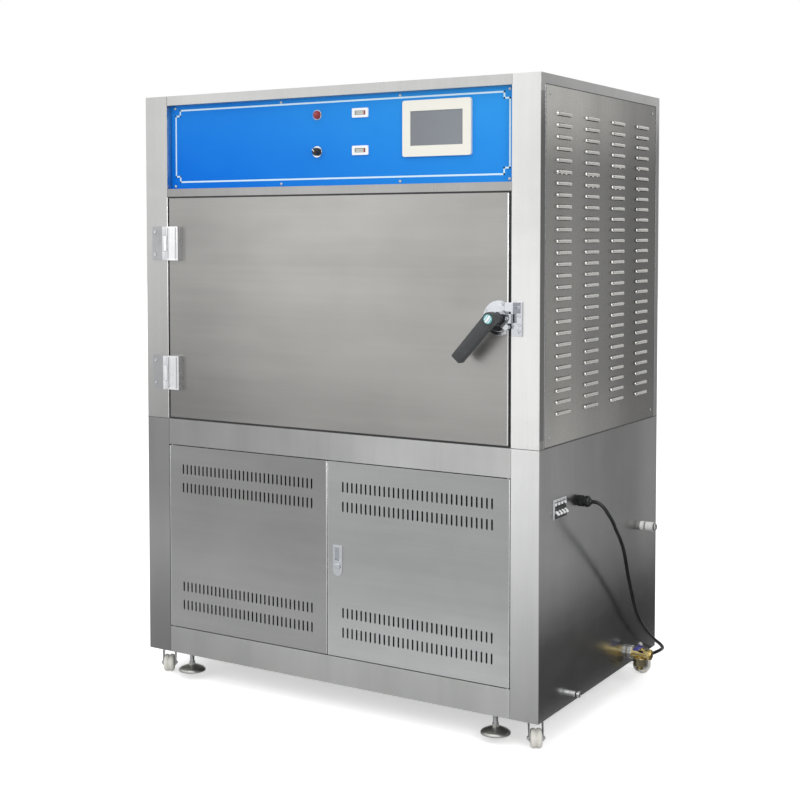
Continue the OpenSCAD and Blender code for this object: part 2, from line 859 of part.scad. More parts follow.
// Touch screen: bezel with its housing behind the panel, and the glass in it
module screen_bezel() {
    front = panel_recess - screen_bezel_out;
    color("ivory") placed() translate([screen_x, 0, control_bot + screen_z]) difference() {
        union() {
            front_plate(panel_recess, screen_bezel_out) round_rect(screen_w, screen_h, screen_round);
            front_plate(panel_recess + screen_body_d, screen_body_d + over)
                square([glass_w + 11, glass_h + 11], center = true);
        }
        front_plate(front + 2 * panel_t, 3 * panel_t) square([glass_w, glass_h], center = true);
    }
}

module screen_glass() {
    front = panel_recess - screen_bezel_out;
    color("lightslategray") placed() translate([screen_x, 0, control_bot + screen_z])
        front_plate(front + 2 * panel_t, panel_t)
            square([glass_w - fit_gap, glass_h - fit_gap], center = true);
}

// Two hour counters, each a bezel with a sunk window and a housing behind it
module hour_counters() {
    window_w = counter_w * 0.68;
    window_h = counter_h * 0.46;
    color("white") placed() for (z = [row_low, row_high])
        translate([counter_x, 0, control_bot + z]) difference() {
            union() {
                front_plate(panel_recess, counter_bezel_out) round_rect(counter_w, counter_h, counter_round);
                front_plate(panel_recess + counter_body_d, counter_body_d + over)
                    square([counter_w - 6, counter_h - 5], center = true);
            }
            front_plate(panel_recess - 1, counter_bezel_out) square([window_w, window_h], center = true);
        }
}

// Alarm lamp: ring, domed lens and the housing behind the panel
module alarm_lamp() {
    lens_r = 12;
    color("firebrick") placed() translate([lamp_x, panel_recess, control_bot + row_high]) {
        rod_y([0, -lamp_ring_t, 0], lamp_ring_r, lamp_ring_t);
        rod_y([0, -lamp_ring_t - 3, 0], lens_r, 4);
        difference() {
            translate([0, -lamp_ring_t - 3, 0]) sphere(lens_r);
            block([-lens_r, -lamp_ring_t - 3, -lens_r], [lens_r, lens_r, lens_r]);
        }
        rod_y([0, 0, 0], neck_r, 48);
    }
}

// Rotary power switch: ring, neck and contact block
module switch_body() {
    color("silver") placed() translate([lamp_x, panel_recess, control_bot + row_low]) difference() {
        union() {
            rod_y([0, -lamp_ring_t, 0], switch_ring_r, lamp_ring_t);
            rod_y([0, 0, 0], neck_r, 20);
            block([-14, 18, -14], [14, 46, 14]);
        }
        rod_y([0, -lamp_ring_t - over, 0], knob_shaft_r + run_gap, knob_shaft_len + 2 + over);
    }
}

// Knob with a raised pointer, turned to the upper left
knob_rest_deg = 45;
module switch_knob() {
    back = panel_recess - lamp_ring_t - knob_gap;
    color("black") placed() translate([lamp_x, 0, control_bot + row_low]) rotate([0, -knob_rest_deg, 0]) {
        rod_y([0, back - knob_t + 4, 0], knob_r, knob_t - 4);
        block([-2.6, back - knob_t, -knob_r + 1], [2.6, back - knob_t + 5, knob_r - 1]);
        rod_y([0, back - over, 0], knob_shaft_r, knob_shaft_len);
    }
}

// Main door: outer pan, inner plug and gasket
module door_outer() {
    color("silver") placed() difference() {
        lipped_pan(door_x0, door_x1, main_pan_d, door_z0, door_z1, main_lip_w);
        rod_y([latch_x, -over, latch_z], latch_shaft_r + run_gap, sheet_t + 2 * over);
    }
}

plug_x = mouth_x - plug_gap;
plug_z0 = mouth_z0 + plug_gap;
plug_z1 = mouth_z1 - plug_gap;
module door_inner() {
    edge = 14;
    y0 = main_pan_d;
    y1 = main_pan_d + plug_d;
    color("lightgray") placed() difference() {
        plug_form(0, y0, y1, edge);
        translate([0, -over, 0]) plug_form(sheet_t, y0, y1 - sheet_t + over, edge);
    }
}

// The plug's outline: straight walls and a chamfered inner face
module plug_form(inset, y0, y1, edge) {
    w = plug_x - inset;
    translate([0, 0, plug_z0 + inset]) linear_extrude(plug_z1 - plug_z0 - 2 * inset)
        polygon([[-w, y0], [w, y0], [w, y1 - edge], [w - edge, y1], [edge - w, y1], [-w, y1 - edge]]);
}

module door_gasket() {
    x0 = door_x0 + gasket_inset;
    x1 = door_x1 - gasket_inset;
    z0 = door_z0 + gasket_inset;
    z1 = door_z1 - gasket_inset;
    y1 = frame_d - seal_gap;
    color("white") placed() difference() {
        block([x0, main_pan_d, z0], [x1, y1, z1]);
        block([x0 + gasket_w, main_pan_d - over, z0 + gasket_w], [x1 - gasket_w, y1 + over, z1 - gasket_w]);
    }
}

module at_hinges() {
    for (z = [hinge_low_z, hinge_high_z]) translate([hinge_x, hinge_y, z]) children();
}

// Hinge leaf on the post, with its two knuckles and the pin
module hinge_leaves() {
    clear = knuckle_r + hinge_side_gap;
    color("gainsboro") placed() at_hinges() {
        block([-leaf_w, hinge_axis_out - leaf_t, 0], [-clear - 2, hinge_axis_out, hinge_h]);
        for (z = [0, hinge_h - knuckle_h]) {
            block([-clear - 2 - over, hinge_axis_out - leaf_t, z], [0, hinge_axis_out, z + knuckle_h]);
            rod_z([0, 0, z], knuckle_r, knuckle_h);
            block([-knuckle_r, 0, z], [0, hinge_axis_out, z + knuckle_h]);
        }
        rod_z([0, 0, 0], hinge_pin_r, hinge_h);
    }
}

// Hinge block on the door, with its knuckle between the leaf's two
module hinge_blocks() {
    clear = knuckle_r + hinge_side_gap;
    front = hinge_axis_out - hinge_block_t;
    groove_count = 6;
    groove_pitch = 6;
    mid0 = knuckle_h + hinge_side_gap;
    mid1 = hinge_h - knuckle_h - hinge_side_gap;
    color("white") placed() at_hinges() difference() {
        union() {
            block([clear, front, 0], [clear + hinge_block_w, hinge_axis_out, hinge_h]);
            rod_z([0, 0, mid0], knuckle_r, mid1 - mid0);
            block([0, -knuckle_r, mid0], [clear + over, knuckle_r, mid1]);
        }
        rod_z([0, 0, mid0 - over], hinge_pin_r + run_gap, mid1 - mid0 + 2 * over);
        for (i = [0:groove_count - 1]) {
            x = clear + hinge_block_w / 2 + (i - (groove_count - 1) / 2) * groove_pitch;
            block([x - 1, front - over, 6], [x + 1, front + 0.8, hinge_h - 6]);
        }
    }
}

// Latch base: a round plate cut off at the door's edge, with a raised hub
module latch_base() {
    color("silver") placed() translate([latch_x, 0, latch_z]) difference() {
        union() {
            front_plate(0, latch_base_t - 3) latch_base_outline(latch_base_r);
            front_plate(0, latch_base_t) latch_base_outline(latch_base_r - 10);
        }
        rod_y([0, -latch_base_t - over, 0], latch_shaft_r + run_gap, latch_base_t + 2 * over);
    }
}

module latch_base_outline(r) {
    edge = latch_edge - 4;
    intersection() {
        circle(r);
        translate([-r, -r]) square([r + edge, 2 * r]);
    }
}

// Latch cam: shaft, hub, the arm that enters the strike and a lower lug
module latch_cam() {
    t = cam_front - cam_back;
    color("silver") placed() translate([latch_x, 0, latch_z]) {
        rod_y([0, -latch_reach + 10, 0], latch_shaft_r, latch_reach - 10 + main_pan_d / 2);
        front_plate(-cam_back, t) {
            circle(cam_hub_r);
            translate([0, -cam_arm_h / 2]) square([cam_arm, cam_arm_h]);
            rotate(cam_lug_deg) translate([0, -cam_lug_h / 2]) square([cam_lug_len, cam_lug_h]);
            rotate(cam_lug_deg) translate([cam_lug_len, 0]) circle(cam_lug_h / 2);
        }
    }
}

// Latch lever: neck, head with a cap, and a lever that points down to the left
module latch_lever() {
    back = latch_reach - lever_t;
    tip_round = 4;
    color("dimgray") placed() translate([latch_x, 0, latch_z]) difference() {
        union() {
            rod_y([0, -back - over, 0], lever_neck_r, back + over - cam_front - 1);
            front_plate(-back, lever_t) {
                circle(lever_head_r);
                rotate(180 + lever_rest_deg) lever_outline(tip_round);
            }
            rod_y([0, -latch_reach - latch_cap_t, 0], lever_head_r - 4, latch_cap_t + over);
        }
        rod_y([0, -latch_reach + 9, 0], latch_shaft_r + run_gap, latch_reach);
    }
}

// Outline of the lever along +X: straight sides and rounded tip corners
module lever_outline(r) {
    h = lever_w / 2;
    square([lever_len - r, lever_w - 2 * r], center = false);
    translate([0, -h]) square([lever_len - r, lever_w]);
    translate([0, r - h]) square([lever_len, lever_w - 2 * r]);
    for (s = [-1, 1]) translate([lever_len - r, s * (h - r)]) circle(r);
}

// Latch strike on the post, with a lip in front of the cam's path
module latch_strike() {
    lip_y = cam_front + lip_gap;
    web_x = cam_swing_r + 1;
    color("silver") placed() difference() {
        union() {
            block([strike_x0, -strike_plate_t, latch_z - strike_down],
                [strike_x0 + strike_w, 0, latch_z + lip_high]);
            translate([latch_x, 0, latch_z]) {
                block([latch_edge + lip_side, -lip_y - lip_t, lip_low],
                    [web_x + strike_web_t, -lip_y, lip_high]);
                block([web_x, -lip_y - lip_t, lip_low - 6], [web_x + strike_web_t, -1, lip_high]);
            }
        }
        for (z = [lip_high - 9, 9 - strike_down])
            rod_y([strike_x0 + strike_w - 8, -strike_plate_t - over, latch_z + z], 2.5, 2.5 + over, $fn = 24);
    }
}

// A lower door, drawn as the right one: pan, pivot blocks and four rows of slots
module lower_door() {
    x0 = centre_gap / 2;
    x1 = x0 + lower_door_w;
    z0 = lower_z0 + lower_gap;
    z1 = lower_z1 - lower_gap;
    mid = (x0 + x1) / 2;
    first = slot_edge + slot_len / 2;
    difference() {
        union() {
            lipped_pan(x0, x1, lower_door_d, z0, z1, lower_lip_w);
            for (z = [z0, z1 - pivot_block_h])
                block([pivot_x - pivot_in, sheet_t / 2, z],
                    [pivot_x + pivot_in - 0.01, pivot_back + pivot_r + 3, z + pivot_block_h]);
        }
        for (z = [z0 - over, z1 - pivot_block_h - over])
            rod_z([pivot_x, pivot_back, z], pivot_r + run_gap, pivot_block_h + 2 * over);
        for (z = [z0 + first, z0 + first + slot_row_pitch, z1 - first, z1 - first - slot_row_pitch])
            translate([mid, sheet_t + over, z]) rotate([90, 0, 0])
                linear_extrude(sheet_t + 2 * over) slot_row(lower_door_w);
    }
}

module left_lower_door() {
    color("darkgray") placed() mirror([1, 0, 0]) lower_door();
}

module right_lower_door() {
    color("darkgray") placed() difference() {
        lower_door();
        translate([lock_x, 0, lock_zc]) block([-lock_w / 2 + lock_side, -over, -lock_low + 2 * lock_side],
            [lock_w / 2 - lock_side, lower_door_d / 2, lock_h - lock_low - lock_side]);
    }
}

// Magnetic catches under the middle rail, behind the doors' top lips
module magnet_catches() {
    y0 = lower_door_d + fit_gap;
    color("dimgray") placed() both_sides()
        block([catch_x, y0, lower_z1 - catch_h], [catch_x + catch_w, y0 + 16, lower_z1]);
}

// Lock plate with its finger pocket, and the housing behind it
module lock_outline(w, low, high) {
    r = w / 2;
    translate([-r, r - low]) square([w, high + low - r]);
    translate([0, r - low]) circle(r);
}

module lock_body() {
    r = lock_cyl_r + run_gap;
    wall = lock_side + fit_gap;
    color("gainsboro") placed() translate([lock_x, 0, lock_zc]) difference() {
        union() {
            front_plate(0, lock_plate_t) lock_outline(lock_w, lock_low, lock_h - lock_low);
            block([wall - lock_w / 2, -0.5, 2 * lock_side + fit_gap - lock_low],
                [lock_w / 2 - wall, lock_body_d, lock_h - lock_low - wall]);
        }
        rod_y([0, -lock_plate_t - over, 0], r, lock_body_d + lock_plate_t + 2 * over);
        block([-r, -lock_plate_t - over, r + 5], [r, lock_pocket_d, lock_h - lock_low - wall - 4]);
    }
}

// Lock cylinder with its turning bar in front and its cam behind the door
module lock_cylinder() {
    cam_y = frame_d + lock_cam_gap;
    color("whitesmoke") placed() translate([lock_x, 0, lock_zc]) {
        rod_y([0, -lock_plate_t - 1, 0], lock_cyl_r, cam_y + lock_cam_t + lock_plate_t + 1);
        block([-8.5, -lock_plate_t - 5, -5.5], [8.5, -lock_plate_t, 5.5]);
        front_plate(cam_y + lock_cam_t, lock_cam_t) {
            translate([-lock_cam_w / 2, -lock_cam_len + lock_cam_w / 2])
                square([lock_cam_w, lock_cam_len - lock_cam_w / 2]);
            translate([0, -lock_cam_len + lock_cam_w / 2]) circle(lock_cam_w / 2);
        }
    }
}

// Breaker: housing with a stepped front, a channel for its toggles
module breaker_body() {
    w = breaker_w / 2 - fit_gap;
    h = breaker_h / 2 - fit_gap;
    drum = pole_count * pole_pitch / 2 - 1;
    color("white") placed() translate([half_w, breaker_y, breaker_zc]) difference() {
        union() {
            block([-breaker_depth, -w, -h], [breaker_out, w, h]);
            block([0, -w - 2, -h - 2], [2, w + 2, h + 2]);
        }
        block([-6, -drum - 0.5, -13], [breaker_out + over, drum + 0.5, 13]);
        rod_y([-4, -drum - 0.5, 0], toggle_drum_r + run_gap, 2 * drum + 1);
        for (i = [1:pole_count - 1])
            block([breaker_out - 1, (i - pole_count / 2) * pole_pitch - 0.4, 14],
                [breaker_out + over, (i - pole_count / 2) * pole_pitch + 0.4, h + over]);
    }
}

// Four toggles on one drum, tied together
module breaker_toggles() {
    drum = pole_count * pole_pitch / 2 - 1;
    color("whitesmoke") placed() translate([half_w - 4, breaker_y, breaker_zc]) {
        rod_y([0, -drum, 0], toggle_drum_r, 2 * drum);
        rotate([0, -toggle_rest_deg, 0]) for (i = [0:pole_count - 1])
            translate([0, (i - (pole_count - 1) / 2) * pole_pitch, 0])
                block([0, -4, -toggle_t / 2], [toggle_len, 4, toggle_t / 2]);
        rotate([0, -toggle_rest_deg, 0])
            block([toggle_drum_r + 4, 6 - drum, 0.5 - toggle_t / 2],
                [toggle_drum_r + 7, drum - 6, toggle_t / 2 - 0.5]);
    }
}

// Cord gland: body through the wall, lock nut inside, clamping nut and tapered sleeve outside
module cord_gland() {
    color("black") placed() translate([half_w, gland_y, gland_zc]) {
        rod_x([-24, 0, 0], gland_hole_r - fit_gap, 26);
        rod_x([-sheet_t - 6, 0, 0], gland_nut_r, 6, $fn = 6);
        rod_x([0, 0, 0], gland_nut_r, 9, $fn = 6);
        rod_x([9, 0, 0], gland_nut_r - 2.5, gland_dome_x - 8);
        translate([gland_dome_x, 0, 0]) rotate([0, 90, 0]) rotate_extrude() polygon([
            [0, 0], [gland_nut_r - 1, 0], [gland_nut_r - 1, 8], [gland_nut_r - 3, 12],
            [gland_nut_r - 7, 14.5], [cord_r + 1.4, gland_len - gland_dome_x], [0, gland_len - gland_dome_x]
        ]);
        for (a = [0:30:330]) rotate([a, 0, 0])
            block([gland_dome_x, gland_nut_r - 2, -1], [gland_dome_x + 8, gland_nut_r, 1]);
    }
}

// Power cord: one tube swept along the route
function unit(v) = v / norm(v);
function catmull(a, b, c, d, t) = 0.5 * (2 * b + (c - a) * t + (2 * a - 5 * b + 4 * c - d) * t * t
    + (3 * b - a - 3 * c + d) * t * t * t);
cord_steps = 3;
cord_last = len(cord_route) - 1;
cord_path = [for (i = [0:cord_last]) let (s = i / cord_last) [
    half_w + cord_route[i].x + (1 - s) * (gland_len - cord_route[0].x),
    cord_route[i].y + (1 - s) * (gland_y - drawn_gland_y) + s * (body_d - drawn_depth),
    cord_route[i].z + (1 - s) * (gland_zc - drawn_gland_z)
]];
cord_line = [
    for (i = [0:cord_last - 1], k = [0:cord_steps - 1])
        catmull(cord_path[max(i - 1, 0)], cord_path[i], cord_path[i + 1],
            cord_path[min(i + 2, cord_last)], k / cord_steps),
    cord_path[cord_last]
];
function cord_dir(i) = unit(cord_line[min(i + 1, len(cord_line) - 1)] - cord_line[max(i - 1, 0)]);
function cord_ring(i) = let (
    d = cord_dir(i),
    side = unit(cross(d, [0.31, 0.17, 1])),
    up = cross(side, d)
) [for (k = [0:cord_sides - 1]) cord_line[i]
    + cord_r * (cos(360 * k / cord_sides) * side + sin(360 * k / cord_sides) * up)];

module power_cord() {
    rings = len(cord_line);
    points = [for (i = [0:rings - 1]) each cord_ring(i)];
    sides = [
        for (i = [0:rings - 2], k = [0:cord_sides - 1]) let (m = (k + 1) % cord_sides)
            each [
                [i * cord_sides + k, (i + 1) * cord_sides + k, (i + 1) * cord_sides + m],
                [i * cord_sides + k, (i + 1) * cord_sides + m, i * cord_sides + m]
            ]
    ];
    start = [[for (k = [0:cord_sides - 1]) k]];
    end = [[for (k = [0:cord_sides - 1]) rings * cord_sides - 1 - k]];
    color("black") placed() polyhedron(points, concat(sides, start, end), convexity = 10);
}

module cord_coil() {
    color("black") placed() translate([coil_x, coil_y, coil_bundle_r])
        rotate_extrude() translate([coil_mean_r, 0]) circle(coil_bundle_r);
}

// Plug on the cord's end: grip and three round pins
module power_plug() {
    pin_len = 19;
    color("black") placed() translate([coil_x - 34, coil_y + coil_mean_r, plug_r]) rotate([0, 0, 180]) {
        rod_x([-2, 0, 0], cord_r + 2, 30);
        rod_x([27, 0, 0], plug_r, plug_len - 27);
        for (a = [90, 210, 330]) rotate([a, 0, 0])
            rod_x([plug_len - over, 9, 0], 2.4, pin_len + over, $fn = 24);
    }
}

// White push-in water inlet with its bore, its lock nut and the pipe to the tank
module water_inlet() {
    pipe = valve_pipe_r - fit_gap;
    color("white") placed() translate([half_w, inlet_y, inlet_zc]) difference() {
        union() {
            rod_x([0, 0, 0], inlet_r, 12);
            rod_x([12, 0, 0], inlet_r - 2.5, 4);
            rod_x([16, 0, 0], inlet_r, inlet_out - 22);
            rod_x([inlet_out - 6, 0, 0], inlet_r - 4, 6);
            rod_x([-20, 0, 0], pipe, 21);
            rod_x([-sheet_t - 7, 0, 0], 13, 7, $fn = 6);
            rod_x([tank_x1 - half_w, 0, 0], inlet_pipe_r, half_w - tank_x1 - 18);
        }
        rod_x([inlet_out - inlet_bore_len, 0, 0], inlet_bore_r, inlet_bore_len + over);
    }
}

// Brass drain valve: nipple, body, stem boss and outlet
module drain_valve() {
    color("goldenrod") placed() translate([half_w, valve_y, valve_zc]) difference() {
        union() {
            rod_x([tank_x1 - half_w, 0, 0], valve_pipe_r - fit_gap, half_w - tank_x1 + 20);
            rod_x([0, 0, 0], valve_nut_r, valve_nut_t, $fn = 12);
            rod_x([valve_nut_t - over, 0, 0], valve_r, valve_out - valve_nut_t);
            rod_x([valve_out - 11, 0, 0], valve_end_r, 8, $fn = 8);
            rod_x([valve_out - 4, 0, 0], valve_r - 3, 4);
            rod_z([valve_stem_x, 0, 0], 8, valve_r + 5);
            rod_z([valve_stem_x, 0, outlet_len - valve_drop], valve_nut_r, outlet_nut_h, $fn = 12);
            rod_z([valve_stem_x, 0, -valve_drop], outlet_r, valve_drop);
        }
        rod_z([valve_stem_x, 0, valve_r - 4], 4 + run_gap, 10);
        rod_z([valve_stem_x, 0, -valve_drop - over], outlet_r - 3, 22 + over);
    }
}

// Lever of the drain valve, pointing to the front, with its stem
module drain_lever() {
    lift = valve_r + 5.3;
    arm = 40;
    color("royalblue") placed() translate([half_w + valve_stem_x, valve_y, valve_zc]) {
        rod_z([0, 0, valve_r - 3.5], 4, lift - valve_r + 3.5 + lever_plate_t + 4);
        translate([0, 0, lift]) linear_extrude(lever_plate_t) {
            circle(8);
            translate([-7, -arm + 7]) square([14, arm - 7]);
            translate([0, -arm + 7]) circle(7);
        }
        rod_z([0, 0, lift], 6.5, lever_plate_t + 3, $fn = 6);
    }
}

// Overflow tube: an elbow under the deck, out through the wall
module overflow_tube() {
    wall = 1;
    r = overflow_r - 1;
    color("silver") placed() difference() {
        union() {
            rod_x([riser_x, overflow_y, overflow_zc], r, half_w - riser_x + overflow_out / 2);
            rod_x([half_w, overflow_y, overflow_zc], overflow_r, overflow_out);
            rod_z([riser_x, overflow_y, overflow_zc], r, seam_z - overflow_zc);
            translate([riser_x, overflow_y, overflow_zc]) sphere(r);
        }
        rod_x([riser_x, overflow_y, overflow_zc], r - wall, half_w - riser_x + overflow_out + over);
        rod_z([riser_x, overflow_y, overflow_zc], r - wall, seam_z - overflow_zc + over);
        translate([riser_x, overflow_y, overflow_zc]) sphere(r - wall);
    }
}

// Casters: plates on the cabinet, swivelling forks, wheels
module caster_plates() {
    color("silver") placed() both_sides() both_ends() translate([caster_x, caster_y, floor_z]) difference() {
        block([-20, -25, -caster_plate_t], [20, 25, 0]);
        rod_z([0, 0, -caster_plate_t - over], kingpin_r + run_gap, caster_plate_t + 2 * over);
    }
}

module fork(side, end) {
    top = floor_z - caster_plate_t - fork_gap;
    inner = wheel_w / 2 + fork_side_gap;
    color("lightgray") placed() caster_place(side, end) {
        rod_z([0, 0, top - fork_crown_t], 17, fork_crown_t);
        rod_z([0, 0, top - over], kingpin_r, caster_plate_t + over);
        block([-inner - fork_t, -12, top - fork_crown_t - 2.5], [inner + fork_t, 14, top - fork_crown_t + 0.5]);
        for (s = [-1, 1]) translate([s * (inner + fork_t / 2) - fork_t / 2, 0, 0]) rotate([90, 0, 90])
            linear_extrude(fork_t) fork_leg(top - fork_crown_t);
        rod_x([-inner - fork_t - 2, -caster_trail, wheel_z], axle_r, 2 * (inner + fork_t + 2));
    }
}

// Side outline of a fork's leg: wide at the crown, round at the axle
module fork_leg(top) {
    r = 8;
    translate([-caster_trail, wheel_z]) circle(r);
    polygon([[-caster_trail - r, wheel_z], [-caster_trail + r, wheel_z - 2], [14, top - 4], [14, top],
        [-12, top], [-caster_trail - r, top - 12]]);
}

module caster_place(side, end) {
    translate([side * caster_x, end > 0 ? body_d - caster_y : caster_y, 0]) mirror([0, end > 0 ? 1 : 0, 0])
        rotate([0, 0, caster_turn]) children();
}

// Twin-tread wheel: two crowned treads with a groove between them
module wheel(side, end) {
    h = wheel_w / 2;
    r = wheel_r;
    bore = axle_r + run_gap;
    color("ivory") placed() caster_place(side, end)
        translate([0, -caster_trail, wheel_z]) rotate([0, 90, 0]) rotate_extrude()
            polygon([[bore, -h], [r - 8, -h], [r - 3, -h + 1], [r - 0.6, -h + 4], [r, -h + 7], [r - 0.6, -3],
                [r - 3, -1.5], [r - 3, 1.5], [r - 0.6, 3], [r, h - 7], [r - 0.6, h - 4], [r - 3, h - 1],
                [r - 8, h], [bore, h]]);
}

// Levelling foot: domed pad, nut and stem
module foot(side, end) {
    nut_z = 17;
    color("silver") placed() translate([side * foot_x, end > 0 ? body_d - foot_in : foot_in, foot_lift]) {
        rotate_extrude() polygon([[0, 0], [foot_r, 0], [foot_r, 4], [foot_r - 4, 7.5], [foot_r - 12, 11.5],
            [foot_r - 22, 15], [stem_r + 4, nut_z], [0, nut_z]]);
        rod_z([0, 0, nut_z - over], stem_r + 3.5, 9 + over, $fn = 6);
        rod_z([0, 0, nut_z], stem_r, floor_z - foot_lift + boss_h + 8 + foot_travel - nut_z);
    }
}

module fork_front_left() { fork(-1, -1); }
module fork_front_right() { fork(1, -1); }
module fork_back_left() { fork(-1, 1); }
module fork_back_right() { fork(1, 1); }
module wheel_front_left() { wheel(-1, -1); }
module wheel_front_right() { wheel(1, -1); }
module wheel_back_left() { wheel(-1, 1); }
module wheel_back_right() { wheel(1, 1); }
module foot_front_left() { foot(-1, -1); }
module foot_front_right() { foot(1, -1); }
module foot_back_left() { foot(-1, 1); }
module foot_back_right() { foot(1, 1); }

function lamp_ys() = [for (i = [0:lamp_count - 1])
    (chamber_y0 + chamber_y1) / 2 + (i - (lamp_count - 1) / 2) * lamp_pitch];

// Chamber liner: box with a flanged mouth, lamp holes, rack ledges and support rails
module chamber_liner() {
    t = sheet_t;
    rack_under = rack_top - rack_bar;
    color("silver") placed() difference() {
        union() {
            block([-chamber_x - t, liner_y0, chamber_z0 - t], [chamber_x + t, chamber_y1 + t, chamber_z1 + t]);
            block([-post_in - flange_over, liner_y0, opening_bot],
                [post_in + flange_over, liner_y0 + t, opening_top + flange_lap]);
            for (s = [-1, 1]) block([s * 300 - 15, liner_y0 + t, opening_bot],
                [s * 300 + 15, chamber_y1, chamber_z0 - t / 2]);
        }
        difference() {
            block([-chamber_x, chamber_y0, chamber_z0], [chamber_x, chamber_y1, chamber_z1]);
            both_sides() block([chamber_x - rack_ledge_w, chamber_y0 + 30, rack_under - t],
                [chamber_x + over, chamber_y1 - 30, rack_under]);
        }
        block([-mouth_x, liner_y0 - over, mouth_z0], [mouth_x, chamber_y0 + over, mouth_z1]);
        for (y = lamp_ys()) both_sides() rod_x([chamber_x - over, y, lamp_z], lamp_r + fit_gap, t + 2 * over);
        rod_y([0, chamber_y1 - over, blower_z], blower_shaft_r + 2, t + 2 * over);
        rod_z([feed_x, feed_y, chamber_z0 - t - over], feed_r + fit_gap, t + 2 * over);
    }
}

module uv_lamps() {
    tube = lamp_len - 2 * holder_end_t;
    color("white") placed() for (y = lamp_ys()) {
        rod_x([-tube / 2, y, lamp_z], lamp_r, tube);
        for (s = [-1, 1], k = [-1, 1])
            rod_x([s * tube / 2 - (s > 0 ? over : holder_end_t - 2), y, lamp_z + k * 6], 1.2,
                holder_end_t - 2 + over, $fn = 16);
    }
}

// Sealed lamp holders: round cups on the chamber's outer walls
module lamp_holders() {
    x0 = chamber_x + sheet_t;
    bottom = lamp_len / 2 - holder_end_t + fit_gap;
    color("white") placed() both_sides() for (y = lamp_ys()) difference() {
        rod_x([x0, y, lamp_z], holder_r, bottom + holder_end_t + 2 - x0);
        rod_x([x0 - over, y, lamp_z], lamp_r + fit_gap, bottom - x0 + over);
        for (k = [-1, 1]) rod_x([bottom - over, y, lamp_z + k * 6], 1.4, holder_end_t + over, $fn = 16);
    }
}

// Specimen rack: a frame of square bars with a middle bar
module specimen_rack() {
    z0 = rack_top - rack_bar;
    color("silver") placed() {
        difference() {
            block([-rack_x, rack_y0, z0], [rack_x, rack_y1, rack_top]);
            block([-rack_x + rack_bar, rack_y0 + rack_bar, z0 - over],
                [rack_x - rack_bar, rack_y1 - rack_bar, rack_top + over]);
        }
        block([-rack_x + rack_bar / 2, rack_mid - rack_bar / 2, z0],
            [rack_x - rack_bar / 2, rack_mid + rack_bar / 2, rack_top]);
    }
}

// Specimen holders: flat plates with a sunk specimen field
module specimen_holders() {
    gap = 2;
    rows = [rack_mid - gap - holder_len, rack_mid + gap];
    color("gainsboro") placed() for (i = [0:holder_count - 1], y = rows)
        translate([(i - (holder_count - 1) / 2) * holder_pitch, y, rack_top]) difference() {
            block([-holder_w / 2, 0, 0], [holder_w / 2, holder_len, holder_t]);
            block([11 - holder_w / 2, 30, holder_t / 2], [holder_w / 2 - 11, holder_len - 30, holder_t + over]);
        }
}

// Water tray with its heating element and the feed tube under it
module water_tray() {
    z0 = chamber_z0;
    tray_mid = (tray_y0 + tray_y1) / 2;
    feed_z0 = floor_z + sheet_t + tank_h - feed_dip;
    color("silver") placed() {
        difference() {
            block([-tray_x, tray_y0, z0], [tray_x, tray_y1, z0 + tray_h]);
            block([-tray_x + tray_t, tray_y0 + tray_t, z0 + tray_t],
                [tray_x - tray_t, tray_y1 - tray_t, z0 + tray_h + over]);
            rod_z([feed_x, feed_y, z0 - over], feed_r - 1.5, tray_t + 2 * over);
        }
        difference() {
            rod_z([feed_x, feed_y, feed_z0], feed_r, z0 + tray_t / 2 - feed_z0);
            rod_z([feed_x, feed_y, feed_z0 - over], feed_r - 1.5, z0);
        }
        for (k = [-1:1]) rod_x([heater_in - tray_x, tray_mid + k * heater_pitch, z0 + tray_t + heater_z],
            heater_r, 2 * (tray_x - heater_in));
        for (s = [-1, 1]) rod_y([s * (tray_x - heater_in), tray_mid - heater_pitch, z0 + tray_t + heater_z],
            heater_r, 2 * heater_pitch);
        for (s = [-1, 1], k = [-1, 1])
            rod_z([s * (tray_x - heater_in), tray_mid + k * heater_pitch, z0 + tray_t / 2], heater_r, heater_z);
    }
}

// Blower motor on the chamber's rear wall
module blower_motor() {
    y0 = chamber_y1 + sheet_t;
    color("steelblue") placed() difference() {
        union() {
            rod_y([0, y0, blower_z], motor_r, motor_len);
            block([-motor_flange, y0, blower_z - motor_flange],
                [motor_flange, y0 + motor_flange_t, blower_z + motor_flange]);
            block([-motor_box_w / 2, y0 + motor_box_h, blower_z + motor_r - motor_flange_t],
                [motor_box_w / 2, y0 + motor_box_h + motor_box_l, blower_z + motor_r + motor_box_h]);
        }
        rod_y([0, y0 - over, blower_z], blower_shaft_r + run_gap, motor_len / 2);
    }
}

// Blower wheel: back plate, blades, front ring and shaft
module blower_wheel() {
    y0 = blower_y1 - blower_w;
    shaft = chamber_y1 + sheet_t + motor_len / 2 - 4 - y0;
    color("silver") placed() translate([0, y0, blower_z]) {
        rod_y([0, blower_w - 2, 0], blower_r, 2);
        difference() {
            rod_y([0, 0, 0], blower_r, 2);
            rod_y([0, -over, 0], blower_r - 22, 2 + 2 * over);
        }
        for (i = [0:blade_count - 1]) rotate([0, i * 360 / blade_count, 0])
            block([blower_r - 21, 1, -0.8], [blower_r - 1, blower_w - 1, 0.8]);
        rod_y([0, 8, 0], 16, blower_w - 9);
        rod_y([0, 8, 0], blower_shaft_r, shaft - 8);
    }
}

